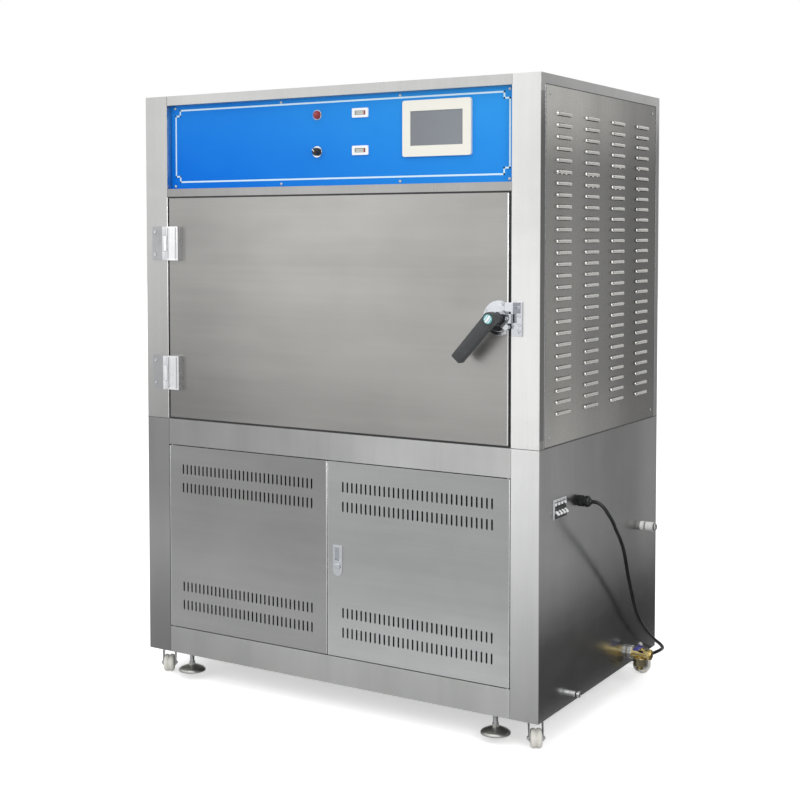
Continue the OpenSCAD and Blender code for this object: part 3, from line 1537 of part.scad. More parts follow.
// Electrical plate on its spacers, with ballasts, contactors and terminals
module electrical_plate() {
    back = plate_front + plate_t / 2;
    spacer_in = 20;
    ballast_pitch = (plate_w - 2 * plate_edge - ballast_w) / 3;
    contactor_pitch = contactor_w + 17;
    contactor_z = plate_z1 - plate_edge - contactor_h - ballast_h;
    color("whitesmoke") placed() {
        block([plate_x0, plate_front, plate_z0], [plate_x1, plate_front + plate_t, plate_z1]);
        for (x = [plate_x0 + spacer_in, plate_x1 - spacer_in], z = [plate_z0 + spacer_in, plate_z1 - spacer_in])
            rod_y([x, back, z], 8, body_d - sheet_t - back);
        for (i = [0:3], j = [0:1]) translate([plate_x0 + plate_edge + i * ballast_pitch, 0,
            plate_z0 + plate_edge + j * (ballast_h + 16)])
            block([0, plate_front - ballast_d, 0], [ballast_w, back, ballast_h]);
        for (i = [0:3]) translate([plate_x0 + plate_edge + 10 + i * contactor_pitch, 0, contactor_z]) {
            block([0, plate_front - contactor_d, 0], [contactor_w, back, contactor_h]);
            block([6, plate_front - contactor_d - 10, contactor_h / 4],
                [contactor_w - 6, plate_front - contactor_d + over, contactor_h * 3 / 4]);
        }
        block([plate_x1 - plate_edge - terminal_w, plate_front - ballast_d, contactor_z + ballast_h / 2],
            [plate_x1 - plate_edge, back, contactor_z + ballast_h / 2 + terminal_h]);
    }
}

// Water tank with a filler neck on its top
module water_tank() {
    z0 = floor_z + sheet_t;
    t = sheet_t;
    color("gainsboro") placed() difference() {
        union() {
            block([tank_x0, tank_y0, z0], [tank_x1, tank_y1, z0 + tank_h]);
            rod_z([feed_x, feed_y, z0 + tank_h - over], neck_r_out, neck_h + over);
        }
        block([tank_x0 + t, tank_y0 + t, z0 + t], [tank_x1 - t, tank_y1 - t, z0 + tank_h - t]);
        rod_z([feed_x, feed_y, z0 + tank_h - 2 * over - t], neck_r_out - neck_wall, neck_h + t + 3 * over);
    }
}

upper_cabinet();
lower_cabinet();
rear_panel();
left_louvre_panel();
right_louvre_panel();
panel_screws();
control_panel();
screen_bezel();
screen_glass();
hour_counters();
alarm_lamp();
switch_body();
switch_knob();
door_outer();
door_inner();
door_gasket();
hinge_leaves();
hinge_blocks();
latch_base();
latch_cam();
latch_lever();
latch_strike();
left_lower_door();
right_lower_door();
magnet_catches();
lock_body();
lock_cylinder();
breaker_body();
breaker_toggles();
cord_gland();
power_cord();
cord_coil();
power_plug();
water_inlet();
drain_valve();
drain_lever();
overflow_tube();
caster_plates();
fork_front_left();
fork_front_right();
fork_back_left();
fork_back_right();
wheel_front_left();
wheel_front_right();
wheel_back_left();
wheel_back_right();
foot_front_left();
foot_front_right();
foot_back_left();
foot_back_right();
chamber_liner();
uv_lamps();
lamp_holders();
specimen_rack();
specimen_holders();
water_tray();
blower_motor();
blower_wheel();
electrical_plate();
water_tank();
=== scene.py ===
"""Looks of an accelerated weathering tester, built on its packed construction model.

The machine is a brushed stainless cabinet on casters and levelling feet. This script dresses the
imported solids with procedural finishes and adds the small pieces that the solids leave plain: screw
heads, printed lines, lenses, grips, the cord and the equipment inside.
"""

from __future__ import annotations

import logging
import math
from dataclasses import dataclass, field, replace
from enum import Enum
from itertools import product
from typing import Callable, ClassVar, Iterable, Sequence

import bmesh
import bpy
from mathutils import Matrix, Vector

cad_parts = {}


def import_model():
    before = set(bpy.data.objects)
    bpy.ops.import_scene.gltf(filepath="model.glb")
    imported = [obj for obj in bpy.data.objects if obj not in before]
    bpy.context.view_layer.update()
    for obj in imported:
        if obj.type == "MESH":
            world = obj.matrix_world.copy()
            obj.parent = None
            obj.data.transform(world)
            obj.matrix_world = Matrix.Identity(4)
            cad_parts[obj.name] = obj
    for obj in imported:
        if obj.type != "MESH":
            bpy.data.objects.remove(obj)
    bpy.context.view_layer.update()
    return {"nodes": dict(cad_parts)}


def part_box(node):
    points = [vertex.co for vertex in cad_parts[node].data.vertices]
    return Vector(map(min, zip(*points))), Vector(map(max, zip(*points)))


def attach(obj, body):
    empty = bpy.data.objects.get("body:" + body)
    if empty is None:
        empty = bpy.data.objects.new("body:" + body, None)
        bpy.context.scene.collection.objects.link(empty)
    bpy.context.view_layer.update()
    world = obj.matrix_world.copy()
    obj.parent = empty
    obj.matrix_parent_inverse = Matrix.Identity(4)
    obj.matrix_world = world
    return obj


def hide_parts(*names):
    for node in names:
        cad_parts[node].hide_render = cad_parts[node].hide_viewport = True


LOG = logging.getLogger("weathering_tester")
MM = 0.001
TO_METRES = Matrix.Diagonal((MM, MM, MM, 1))
ORIGIN = (0, 0, 0)
WELD = 1e-4
UNIT_SMOOTH = 30.0
SIDES = (-1, 1)
Pair = tuple[float, float]
Point = tuple[float, float, float]
Colour = tuple[float, float, float, float]
Value = "Signal | float | tuple"
Place = tuple[Vector, "Axis"]
BLACK: Colour = (0.0, 0.0, 0.0, 1.0)
WHITE: Colour = (1.0, 1.0, 1.0, 1.0)


class Axis(Enum):
    """Directions that a turned piece can point in, in the cabinet's frame."""

    RIGHT = (1, 0, 0)
    LEFT = (-1, 0, 0)
    BACK = (0, 1, 0)
    FRONT = (0, -1, 0)
    UP = (0, 0, 1)
    DOWN = (0, 0, -1)

    def turn(self) -> Matrix:
        """Returns the rotation that takes +Z to this direction."""
        return Vector((0, 0, 1)).rotation_difference(Vector(self.value)).to_matrix().to_4x4()


class Grain(Enum):
    """Directions in which a sheet was brushed, as scales of the noise along X, Y and Z."""

    UPRIGHT = (520.0, 520.0, 3.2)
    LEVEL = (3.2, 520.0, 520.0)


def linear(red: float, green: float, blue: float) -> Colour:
    """Turns a colour as seen on a screen, from 0 to 255, into the renderer's linear values."""
    def channel(value: float) -> float:
        """Returns one channel as a linear value."""
        value /= 255
        return value / 12.92 if value <= 0.04045 else ((value + 0.055) / 1.055) ** 2.4

    return channel(red), channel(green), channel(blue), 1.0


def grey(level: float) -> Colour:
    """Returns a neutral linear colour for a screen level from 0 to 255."""
    return linear(level, level, level)


def maths(operation: str, swap: bool = False) -> Callable[..., Signal]:
    """Returns a method of Signal that adds one Math node.

    Args:
        operation: the node's operation.
        swap: whether the signal is the node's second input.

    Returns:
        The method, which takes the node's other inputs.
    """
    def act(self: Signal, *others: Value) -> Signal:
        """Adds the node and returns its result."""
        values = (*others, self) if swap else (self, *others)
        return self.graph.node("ShaderNodeMath", {"operation": operation}, dict(enumerate(values)))[0]

    return act


class Signal:
    """A socket whose arithmetic adds the Math nodes that work it out."""

    __add__ = __radd__ = maths("ADD")
    __sub__ = maths("SUBTRACT")
    __rsub__ = maths("SUBTRACT", swap=True)
    __mul__ = __rmul__ = maths("MULTIPLY")
    __truediv__ = maths("DIVIDE")
    __abs__ = maths("ABSOLUTE")
    fraction = maths("FRACT")
    at_most = maths("MINIMUM")
    at_least = maths("MAXIMUM")

    def __init__(self, graph: Graph, socket: bpy.types.NodeSocket) -> None:
        """Keeps the socket and the graph that it belongs to."""
        self.graph = graph
        self.socket = socket

    def ramp(self, low: float, high: float, to_low: float = 0.0, to_high: float = 1.0) -> Signal:
        """Maps a stretch of this signal smoothly onto another, clamped at both ends.

        Args:
            low: value at the stretch's start.
            high: value at its end.
            to_low: result at the start.
            to_high: result at the end.

        Returns:
            The mapped signal.
        """
        return self.graph.node(
            "ShaderNodeMapRange", {"interpolation_type": "SMOOTHSTEP", "clamp": True},
            {"Value": self, "From Min": low, "From Max": high, "To Min": to_low, "To Max": to_high})[0]

    def inside(self, low: float, high: float, soft: float) -> Signal:
        """Returns 1 between two values and 0 outside them, with soft edges."""
        return self.ramp(low - soft, low + soft) * self.ramp(high - soft, high + soft, 1.0, 0.0)


class Outputs:
    """The outputs of one node, read by name or by place."""

    def __init__(self, graph: Graph, node: bpy.types.Node) -> None:
        """Keeps the node and its graph."""
        self.graph = graph
        self.node = node

    def __getitem__(self, key: int | str) -> Signal:
        """Returns one output as a signal."""
        return Signal(self.graph, self.node.outputs[key])


class Graph:
    """A node tree that is written as expressions."""

    def __init__(self, tree: bpy.types.NodeTree) -> None:
        """Empties the tree and keeps it."""
        self.tree = tree
        tree.nodes.clear()

    def node(self, kind: str, settings: dict | None = None, values: dict | None = None) -> Outputs:
        """Adds a node, sets it and joins its inputs.

        Args:
            kind: the node's type.
            settings: properties that are set before any input.
            values: inputs by name or place, each a signal, a number or a tuple.

        Returns:
            The node's outputs.
        """
        made = self.tree.nodes.new(kind)
        for name, value in (settings or {}).items():
            setattr(made, name, value)
        for key, value in (values or {}).items():
            if isinstance(value, Signal):
                self.tree.links.new(value.socket, made.inputs[key])
            else:
                made.inputs[key].default_value = value
        return Outputs(self, made)

    def mix(self, factor: Value, low: Value, high: Value, blend: str = "MIX") -> Signal:
        """Mixes two colours by a factor, the second laid on the first as blend says."""
        settings = {"data_type": "RGBA", "blend_type": blend}
        return self.node("ShaderNodeMix", settings, {0: factor, 6: low, 7: high})[2]

    def vector(self, value: Value) -> Signal:
        """Returns a vector with the same value along all three axes."""
        return self.node("ShaderNodeCombineXYZ", None, {0: value, 1: value, 2: value})[0]

    def place(self) -> Signal:
        """Returns the Object coordinates, in metres."""
        return self.node("ShaderNodeTexCoord")["Object"]

    def split(self, vector: Signal) -> tuple[Signal, Signal, Signal]:
        """Returns a vector's three parts."""
        parts = self.node("ShaderNodeSeparateXYZ", None, {0: vector})
        return parts[0], parts[1], parts[2]

    def noise(self, where: Signal, scale: float, detail: float = 3.0, stretch: Point = (1.0, 1.0, 1.0),
              seed: float = 0.0) -> Signal:
        """Adds a noise texture.

        Args:
            where: the coordinates that it is read at.
            scale: its scale per metre.
            detail: its octaves.
            stretch: extra scale along each axis.
            seed: shift that keeps one finish's noise apart from another's.

        Returns:
            The noise, from 0 to 1.
        """
        mapped = self.node("ShaderNodeMapping", None, {
            "Vector": where, "Location": (seed, seed * 0.7, seed * 1.3), "Scale": stretch})[0]
        return self.node("ShaderNodeTexNoise", None, {
            "Vector": mapped, "Scale": scale, "Detail": detail, "Roughness": 0.55})["Fac"]

    def bump(self, height: Signal, distance: float, strength: float, fold: float = 0.0) -> Signal:
        """Returns a normal bent by a height, with its distance and the folds' radius in metres."""
        values = {"Height": height, "Distance": distance, "Strength": strength}
        if fold:
            values["Normal"] = self.node("ShaderNodeBevel", {"samples": 4}, {"Radius": fold})["Normal"]
        return self.node("ShaderNodeBump", None, values)["Normal"]


@dataclass(frozen=True)
class Finish:
    """One surface finish, its colour as seen on a screen. Each kind paints itself in surface()."""

    name: str
    screen: Point
    roughness: float = 0.5
    metallic: float = 0.0
    seed: float = 0.0

    @property
    def colour(self) -> Colour:
        """The colour in linear values."""
        return linear(*self.screen)

    def shifted(self, scale: float, add: float = 0.0) -> Colour:
        """Returns the colour with its channels scaled and raised, at most 1."""
        return tuple(min(1.0, c * scale + add) for c in self.colour[:3]) + (1.0,)

    def surface(self, graph: Graph) -> dict[str, Value]:
        """Returns the values of the shader's inputs, by name. Each kind of finish writes its own."""
        raise NotImplementedError

    def material(self) -> bpy.types.Material:
        """Returns this finish as a material, made once."""
        known = bpy.data.materials.get(self.name)
        if known is not None and known.get("finish"):
            return known
        made = bpy.data.materials.new(self.name)
        made["finish"] = True
        made.use_nodes = True
        made.diffuse_color = self.colour
        graph = Graph(made.node_tree)
        values = {"Metallic": self.metallic, **self.surface(graph)}
        shader = graph.node("ShaderNodeBsdfPrincipled", None, values)
        graph.node("ShaderNodeOutputMaterial", None, {"Surface": shader[0]})
        return made


@dataclass(frozen=True)
class PaintedLightRamp:
    """Painted light and shade: how a sheet's colour is made brighter or darker from one end of an axis to the
    other, inside the given limits.

    Each limit is an axis, its lowest and its highest value, in metres, and soft is the width of its edge.
    """

    axis: int
    low_at: float
    high_at: float
    low: float
    high: float
    limits: tuple[tuple[int, float, float], ...] = ()
    soft: float = 0.0012


@dataclass(frozen=True)
class BrushedSheet(Finish):
    """Brushed stainless sheet: streaks along the grain, soft clouds, wiping marks, rounded folds and ramps of
    painted light and shade.
    """

    roughness: float = 0.30
    metallic: float = 1.0
    grain: Grain = Grain.UPRIGHT
    streak: float = 0.10
    cloud: float = 0.10
    smear: float = 0.06
    fold: float = 0.0012
    painted_light_ramps: tuple[PaintedLightRamp, ...] = ()

    def surface(self, graph: Graph) -> dict[str, Value]:
        """Returns the shader's inputs for brushed sheet."""
        where = graph.place()
        parts = graph.split(where)
        along = (0.3, 0.3, 1.5) if self.grain is Grain.LEVEL else (1.4, 1.4, 0.25)
        fine = graph.noise(where, 1.0, 3.0, self.grain.value, self.seed)
        broad = graph.noise(where, 1.0, 2.0, tuple(s / 9 for s in self.grain.value), self.seed + 3)
        cloud = graph.noise(where, 2.6, 4.0, (1.0, 1.0, 0.7), self.seed + 7)
        wiped = graph.noise(where, 9.0, 3.0, (1.0, 1.0, 2.2), self.seed + 11)
        smear = graph.noise(where, 5.0, 3.0, along, self.seed + 17)
        tone = 1.0 + (fine - 0.5) * self.streak + (broad - 0.5) * (self.streak * 0.8)
        tone = tone + (cloud - 0.5) * (self.cloud * 2)
        tone = tone + (smear.ramp(0.35, 0.65) - 0.5) * self.smear
        # Painted light and shade: each ramp makes the sheet's colour brighter or darker where the room's
        # light and reflections fall on it.
        for light_ramp in self.painted_light_ramps:
            painted_light_factor = parts[light_ramp.axis].ramp(light_ramp.low_at, light_ramp.high_at, light_ramp.low, light_ramp.high)
            for axis, low, high in light_ramp.limits:
                painted_light_factor = 1.0 + (painted_light_factor - 1.0) * parts[axis].inside(low, high, light_ramp.soft)
            tone = tone * painted_light_factor
        return {"Base Color": graph.mix(1.0, self.colour, graph.vector(tone), "MULTIPLY"),
                "Roughness": self.roughness + (fine - 0.5) * 0.10 + (wiped - 0.5) * 0.12,
                "Normal": graph.bump(fine * 0.7 + cloud * 0.3, 0.00016, 0.35, self.fold)}


@dataclass(frozen=True)
class LouvredSheet(BrushedSheet):
    """Brushed sheet with pressed hoods, each with painted shade on its upper fold and a painted highlight on
    its lower one.
    """

    middle: float = -0.0325
    face: float = 0.641
    rise: float = 0.0012
    first: float = 0.0
    pitch: float = 0.0293
    upper_fold_shade: float = 0.22
    bright: float = 1.35

    def surface(self, graph: Graph) -> dict[str, Value]:
        """Returns the shader's inputs for louvred sheet."""
        values = super().surface(graph)
        across, _, height = graph.split(graph.place())
        phase = ((height - self.first) / self.pitch).fraction()
        # Painted light: the hood's lower fold is brightened as a painted highlight, its upper fold darkened
        # as painted shade.
        fold = phase.ramp(0.60, 0.70, self.bright, self.upper_fold_shade)
        tone = 1.0 + (fold - 1.0) * abs(across - self.middle).ramp(self.face, self.face + self.rise)
        values["Base Color"] = graph.mix(1.0, values["Base Color"], graph.vector(tone), "MULTIPLY")
        return values


@dataclass(frozen=True)
class CastMetal(Finish):
    """Cast or turned metal with a satin plating: fine pits, darker worn patches and rounded edges."""

    roughness: float = 0.22
    metallic: float = 1.0
    grain_scale: float = 260.0
    fold: float = 0.0010

    def surface(self, graph: Graph) -> dict[str, Value]:
        """Returns the shader's inputs for plated metal."""
        where = graph.place()
        pits = graph.noise(where, self.grain_scale, seed=self.seed)
        stain = graph.noise(where, 22.0, 4.0, seed=self.seed + 5)
        worn = stain.ramp(0.45, 0.8, 0.0, 0.35)
        return {"Base Color": graph.mix(worn, self.colour, self.shifted(0.72)),
                "Roughness": self.roughness + (pits - 0.5) * 0.12 + (stain - 0.5) * 0.18,
                "Normal": graph.bump(pits, 0.00008, 0.5, self.fold)}


@dataclass(frozen=True)
class Moulding(Finish):
    """Moulded plastic or rubber: a fine grain, slight shade changes and dust."""

    roughness: float = 0.45
    grain_scale: float = 900.0
    grain_depth: float = 0.00008
    dust: float = 0.06
    coat: float = 0.0

    def surface(self, graph: Graph) -> dict[str, Value]:
        """Returns the shader's inputs for a moulding."""
        where = graph.place()
        grain = graph.noise(where, self.grain_scale, 2.0, seed=self.seed)
        stain = graph.noise(where, 35.0, 4.0, seed=self.seed + 2)
        dusty = stain.ramp(0.4, 0.75, 0.0, self.dust * 2)
        return {"Base Color": graph.mix(dusty, self.colour, self.shifted(0.7, 0.3 * 0.55)),
                "Roughness": self.roughness + (grain - 0.5) * 0.14 + (stain - 0.5) * 0.12,
                "Coat Weight": self.coat, "Normal": graph.bump(grain, self.grain_depth, 0.6)}


@dataclass(frozen=True)
class PrintedPanel(Finish):
    """Printed control panel: deep blue with painted reflections of the room, paler towards the right and the
    top, and slight orange peel.
    """

    deep: Point = (0, 114, 224)
    across: Pair = (-0.6, 0.5)
    height: Pair = (1.44, 1.66)

    def surface(self, graph: Graph) -> dict[str, Value]:
        """Returns the shader's inputs for the printed panel."""
        where = graph.place()
        x, _, z = graph.split(where)
        haze = graph.noise(where, 3.2, 4.0, (1.0, 1.0, 1.6), self.seed)
        peel = graph.noise(where, 420.0, 2.0, seed=self.seed + 4)
        # Painted reflection: the share of the paler blue grows to the right and the top, in soft blotches.
        share = x.ramp(*self.across) * 0.6 + z.ramp(*self.height) * 0.3 + (haze - 0.5) * 0.4
        share = share.at_least(0.0).at_most(1.0)
        return {"Base Color": graph.mix(share, linear(*self.deep), self.colour),
                "Roughness": self.roughness + (haze - 0.5) * 0.2 + (peel - 0.5) * 0.05,
                "Coat Weight": 0.03, "Specular IOR Level": 0.06, "Normal": graph.bump(peel, 0.00005, 0.4)}


@dataclass(frozen=True)
class LampTube(Finish):
    """Coated glass tube: milky, with darker ends."""

    middle: float = -0.0325
    end_at: float = 0.56
    end_w: float = 0.05

    def surface(self, graph: Graph) -> dict[str, Value]:
        """Returns the shader's inputs for a lamp."""
        where = graph.place()
        ends = abs(graph.split(where)[0] - self.middle).ramp(self.end_at - self.end_w, self.end_at)
        dusty = graph.noise(where, 40.0, seed=self.seed)
        return {"Base Color": graph.mix(ends * 0.55, self.colour, grey(92)),
                "Roughness": self.roughness + dusty * 0.1, "Coat Weight": 0.6}


@dataclass(frozen=True)
class DisplayGlass(Finish):
    """Unlit display under glass, with a painted reflection of the room that makes it a little paler towards
    the right.
    """

    across: Pair = (0.22, 0.39)

    def surface(self, graph: Graph) -> dict[str, Value]:
        """Returns the shader's inputs for the display."""
        where = graph.place()
        # Painted reflection: the display's colour is made paler towards the right.
        painted_sheen = graph.split(where)[0].ramp(*self.across, 0.0, 0.5)
        smear = graph.noise(where, 14.0, seed=self.seed)
        return {"Base Color": graph.mix(painted_sheen + (smear - 0.5) * 0.3, self.colour, self.shifted(1.35)),
                "Roughness": self.roughness + (smear - 0.5) * 0.1, "Coat Weight": 0.8}


X, Y, Z = 0, 1, 2
FRONT = (Y, -0.3705, -0.3675)
RIGHT_SIDE = (X, 0.6066, 0.62)
RIGHT_POST = (X, 0.5265, 0.6068)
LEFT_POST = (X, -0.6745, -0.5915)
BETWEEN_POSTS = (X, -0.5915, 0.5265)
PANEL_SIDE = (X, 0.6, 0.6089)
# The ramps of painted light and shade below make posts, rails, doors and side panels brighter or darker where
# the room's light and reflections fall on them.
SHELL = BrushedSheet(
    "shell_steel", (214, 214, 213), 0.30, seed=1.0, cloud=0.07,
    painted_light_ramps=(
        PaintedLightRamp(Z, 1.44, 1.67, 0.54, 0.70, (FRONT, BETWEEN_POSTS)),
        PaintedLightRamp(X, -0.58, -0.10, 0.76, 1.0, (FRONT, BETWEEN_POSTS, (Z, 1.40, 1.45))),
        PaintedLightRamp(Z, 0.80, 1.50, 1.44, 0.95, (FRONT, RIGHT_POST)),
        PaintedLightRamp(Z, 0.77, 1.00, 0.60, 0.68, (FRONT, LEFT_POST)),
        PaintedLightRamp(Z, 1.55, 1.70, 0.42, 1.0, (RIGHT_SIDE,)),
        PaintedLightRamp(Y, -0.345, -0.335, 0.62, 1.0, (RIGHT_SIDE, (Z, 0.79, 1.66)))))
BASE_SHELL = BrushedSheet(
    "base_steel", (200, 201, 200), 0.22, seed=2.0, cloud=0.09, smear=0.10,
    painted_light_ramps=(
        PaintedLightRamp(Z, 0.05, 0.77, 0.80, 0.98, (FRONT,)),
        PaintedLightRamp(Z, 0.02, 0.72, 1.02, 1.70, (FRONT, RIGHT_POST)),
        PaintedLightRamp(Z, 0.12, 0.40, 0.58, 0.74, (FRONT, LEFT_POST)),
        PaintedLightRamp(Z, 0.40, 0.60, 1.0, 0.80, (FRONT, LEFT_POST)),
        PaintedLightRamp(X, -0.59, 0.50, 0.66, 1.15, (FRONT, BETWEEN_POSTS, (Z, 0.60, 0.80))),
        PaintedLightRamp(X, -0.59, 0.00, 0.97, 1.24, (FRONT, BETWEEN_POSTS, (Z, 0.0, 0.17))),
        PaintedLightRamp(Z, 0.06, 0.42, 0.98, 0.52, (RIGHT_SIDE,)),
        PaintedLightRamp(Y, -0.36, 0.20, 1.06, 0.66, (RIGHT_SIDE,)),
        PaintedLightRamp(Y, 0.20, 0.40, 1.0, 1.35, (RIGHT_SIDE,))))
DOOR_SHEET = BrushedSheet(
    "door_steel", (200, 199, 196), 0.34, seed=4.0, grain=Grain.LEVEL, cloud=0.12, smear=0.08,
    painted_light_ramps=(
        PaintedLightRamp(Z, 0.77, 1.10, 0.56, 0.67),
        PaintedLightRamp(X, -0.60, -0.05, 0.79, 1.09),
        PaintedLightRamp(X, 0.10, 0.45, 1.0, 1.14, ((Z, 0.5, 0.92),), 0.10),
        PaintedLightRamp(X, 0.05, 0.42, 1.0, 0.88, ((Z, 1.12, 1.6),), 0.12)))
LOUVRE_SHEET = LouvredSheet(
    "louvre_steel", (196, 195, 191), 0.27, seed=5.0, smear=0.12,
    painted_light_ramps=(
        PaintedLightRamp(Z, 1.45, 1.66, 0.76, 1.70, (PANEL_SIDE,)),
        PaintedLightRamp(Z, 0.79, 0.95, 1.22, 1.0, (PANEL_SIDE,)),
        PaintedLightRamp(Y, -0.34, 0.40, 0.90, 0.32, (PANEL_SIDE,))))
# The two lower doors are one steel painted as a shaded and a lit copy: the left one darker, the right one
# paler, each with its own ramp of painted light in height.
SHADED_LEFT_BAY_SHEET = BrushedSheet(
    "shaded_left_bay_steel", (182, 183, 182), 0.33, seed=6.0, grain=Grain.LEVEL, cloud=0.12,
    painted_light_ramps=(PaintedLightRamp(Z, 0.15, 0.65, 0.88, 0.69),))
LIT_RIGHT_BAY_SHEET = BrushedSheet(
    "lit_right_bay_steel", (192, 193, 193), 0.33, seed=8.0, grain=Grain.LEVEL, cloud=0.12,
    painted_light_ramps=(PaintedLightRamp(Z, 0.12, 0.45, 1.16, 0.84),))
REAR_SHEET = BrushedSheet("rear_steel", (176, 175, 172), 0.36, seed=9.0)
LINER_SHEET = BrushedSheet("liner_steel", (190, 190, 188), 0.28, seed=12.0, grain=Grain.LEVEL)
RACK_STEEL = BrushedSheet("rack_steel", (200, 200, 198), 0.26, seed=14.0, grain=Grain.LEVEL, fold=0.0006)
TANK_SHEET = BrushedSheet("tank_steel", (172, 172, 170), 0.40, seed=15.0)
BRIGHT_CAST = CastMetal("bright_cast", (214, 217, 221), 0.12, seed=16.0, fold=0.0016)
HINGE_CAST = CastMetal("hinge_cast", (244, 245, 247), 0.30, seed=17.0, grain_scale=60.0)
ZINC_PLATE = CastMetal("zinc_plate", (196, 198, 200), 0.32, seed=18.0)
FOOT_STEEL = CastMetal("foot_steel", (188, 188, 184), 0.30, seed=19.0)
BRASS_CAST = CastMetal("valve_brass", (250, 226, 156), 0.20, seed=20.0)
# Bright steel of small turned parts, also used for the strips that paint the highlights on folded edges.
BRIGHT_STEEL_AND_HIGHLIGHT = CastMetal("bright_steel_and_highlight", (250, 250, 250), 0.24, seed=43.0)
VALVE_NUT = CastMetal("valve_nut", (226, 226, 222), 0.26, seed=45.0)
OUTLET_BRASS = CastMetal("outlet_brass", (196, 184, 150), 0.30, seed=46.0)
LEAF_STEEL = CastMetal("leaf_steel", (168, 170, 172), 0.34, seed=54.0)
PANEL_PRINT = PrintedPanel("panel_print", (50, 156, 236), 0.30, seed=21.0)
BORDER_PRINT = Moulding("border_print", (214, 240, 252), 0.35, seed=22.0, grain_depth=0.00002)
CREAM_BEZEL = Moulding("cream_bezel", (240, 238, 228), 0.42, seed=23.0)
WHITE_SHELL = Moulding("white_shell", (246, 247, 248), 0.36, seed=24.0, dust=0.02)
WHEEL_NYLON = Moulding("wheel_nylon", (232, 230, 222), 0.38, seed=25.0, dust=0.12)
BLACK_GRIP = Moulding("black_grip", (58, 60, 62), 0.42, seed=26.0, grain_depth=0.0001)
BLACK_PART = Moulding("black_part", (26, 27, 28), 0.36, seed=27.0)
CORD_JACKET = Moulding("cord_jacket", (24, 25, 26), 0.34, seed=28.0, grain_scale=500.0)
CAP_DISC = Moulding("cap_disc", (104, 186, 190), 0.30, seed=29.0)
RED_LENS = Moulding("red_lens", (150, 30, 28), 0.16, seed=30.0, grain_depth=0.00002, coat=0.8)
RED_WHEEL = Moulding("red_wheel", (190, 60, 50), 0.4, seed=31.0)
COUNTER_DARK = Moulding("counter_window", (70, 70, 66), 0.3, seed=32.0)
COUNTER_DIGIT = Moulding("counter_digit", (232, 232, 226), 0.5, seed=33.0)
SEAL_RUBBER = Moulding("seal_rubber", (214, 214, 210), 0.62, seed=34.0, dust=0.1)
VALVE_SLEEVE = Moulding("valve_sleeve", (52, 56, 150), 0.30, seed=35.0)
SEAM_DARK = Moulding("seam_dark", (74, 74, 72), 0.6, seed=36.0)
MOTOR_PAINT = Moulding("motor_paint", (72, 88, 104), 0.4, seed=37.0, grain_depth=0.00012)
BOARD_PAINT = Moulding("board_paint", (222, 222, 216), 0.5, seed=38.0)
COLLET_AND_SHADOW_GREY = Moulding("collet_and_shadow_grey", (84, 86, 88), 0.4, seed=39.0)
COUPON_A = Moulding("coupon_a", (186, 196, 178), 0.45, seed=40.0)
GROOVE_GREY = Moulding("groove_grey", (120, 122, 124), 0.5, seed=44.0)
CLEAR_PLASTIC = Moulding("clear_plastic", (250, 250, 248), 0.22, seed=47.0, coat=0.5)
WIRE_RED = Moulding("wire_red", (150, 40, 36), 0.4, seed=48.0)
COUPON_B = Moulding("coupon_b", (206, 188, 150), 0.4, seed=49.0)
FIN_DARK = Moulding("fin_dark", (48, 58, 70), 0.45, seed=50.0)
BREAKER_GREY = Moulding("breaker_grey", (206, 208, 210), 0.42, seed=51.0)
DUCT_GREY = Moulding("duct_grey", (150, 152, 154), 0.5, seed=52.0)
HUB_GREY = Moulding("hub_grey", (206, 205, 200), 0.4, seed=53.0)
KNUCKLE_WHITE = Moulding("knuckle_white", (222, 225, 228), 0.30, seed=55.0, coat=0.3, dust=0.02)
LAMP_GLASS = LampTube("lamp_glass", (232, 234, 240), 0.10, seed=41.0)
DISPLAY = DisplayGlass("display_glass", (108, 114, 122), 0.16, seed=42.0)


def linked(name: str, data: bpy.types.ID) -> bpy.types.Object:
    """Returns a new object with the given data, linked to the scene."""
    made = bpy.data.objects.new(name, data)
    bpy.context.scene.collection.objects.link(made)
    return made


def placed(at: Sequence[float], degrees: float = 0.0, about: str = "Y") -> Matrix:
    """Returns the matrix that turns about an axis and then moves to a point."""
    return Matrix.Translation(at) @ Matrix.Rotation(math.radians(degrees), 4, about)


def rect(x0: float, z0: float, x1: float, z1: float) -> list[Pair]:
    """Returns the outline of a rectangle between two corners."""
    return [(x0, z0), (x1, z0), (x1, z1), (x0, z1)]


def arc(centre: Pair, radius: float, start: float, end: float, steps: int) -> list[Pair]:
    """Returns points on an arc, both ends included.

    Args:
        centre: its centre.
        radius: its radius.
        start: first angle in degrees.
        end: last angle in degrees.
        steps: number of stretches.

    Returns:
        The points.
    """
    angles = [math.radians(start + (end - start) * i / steps) for i in range(steps + 1)]
    return [(centre[0] + radius * math.cos(a), centre[1] + radius * math.sin(a)) for a in angles]


def rounded(centre: Pair, width: float, height: float, radius: float, steps: int) -> list[Pair]:
    """Returns the outline of a rectangle with round corners."""
    x, z = width / 2 - radius, height / 2 - radius
    corners = ((x, z, 0), (-x, z, 90), (-x, -z, 180), (x, -z, 270))
    return [p for dx, dz, a in corners
            for p in arc((centre[0] + dx, centre[1] + dz), radius, a, a + 90, steps)]


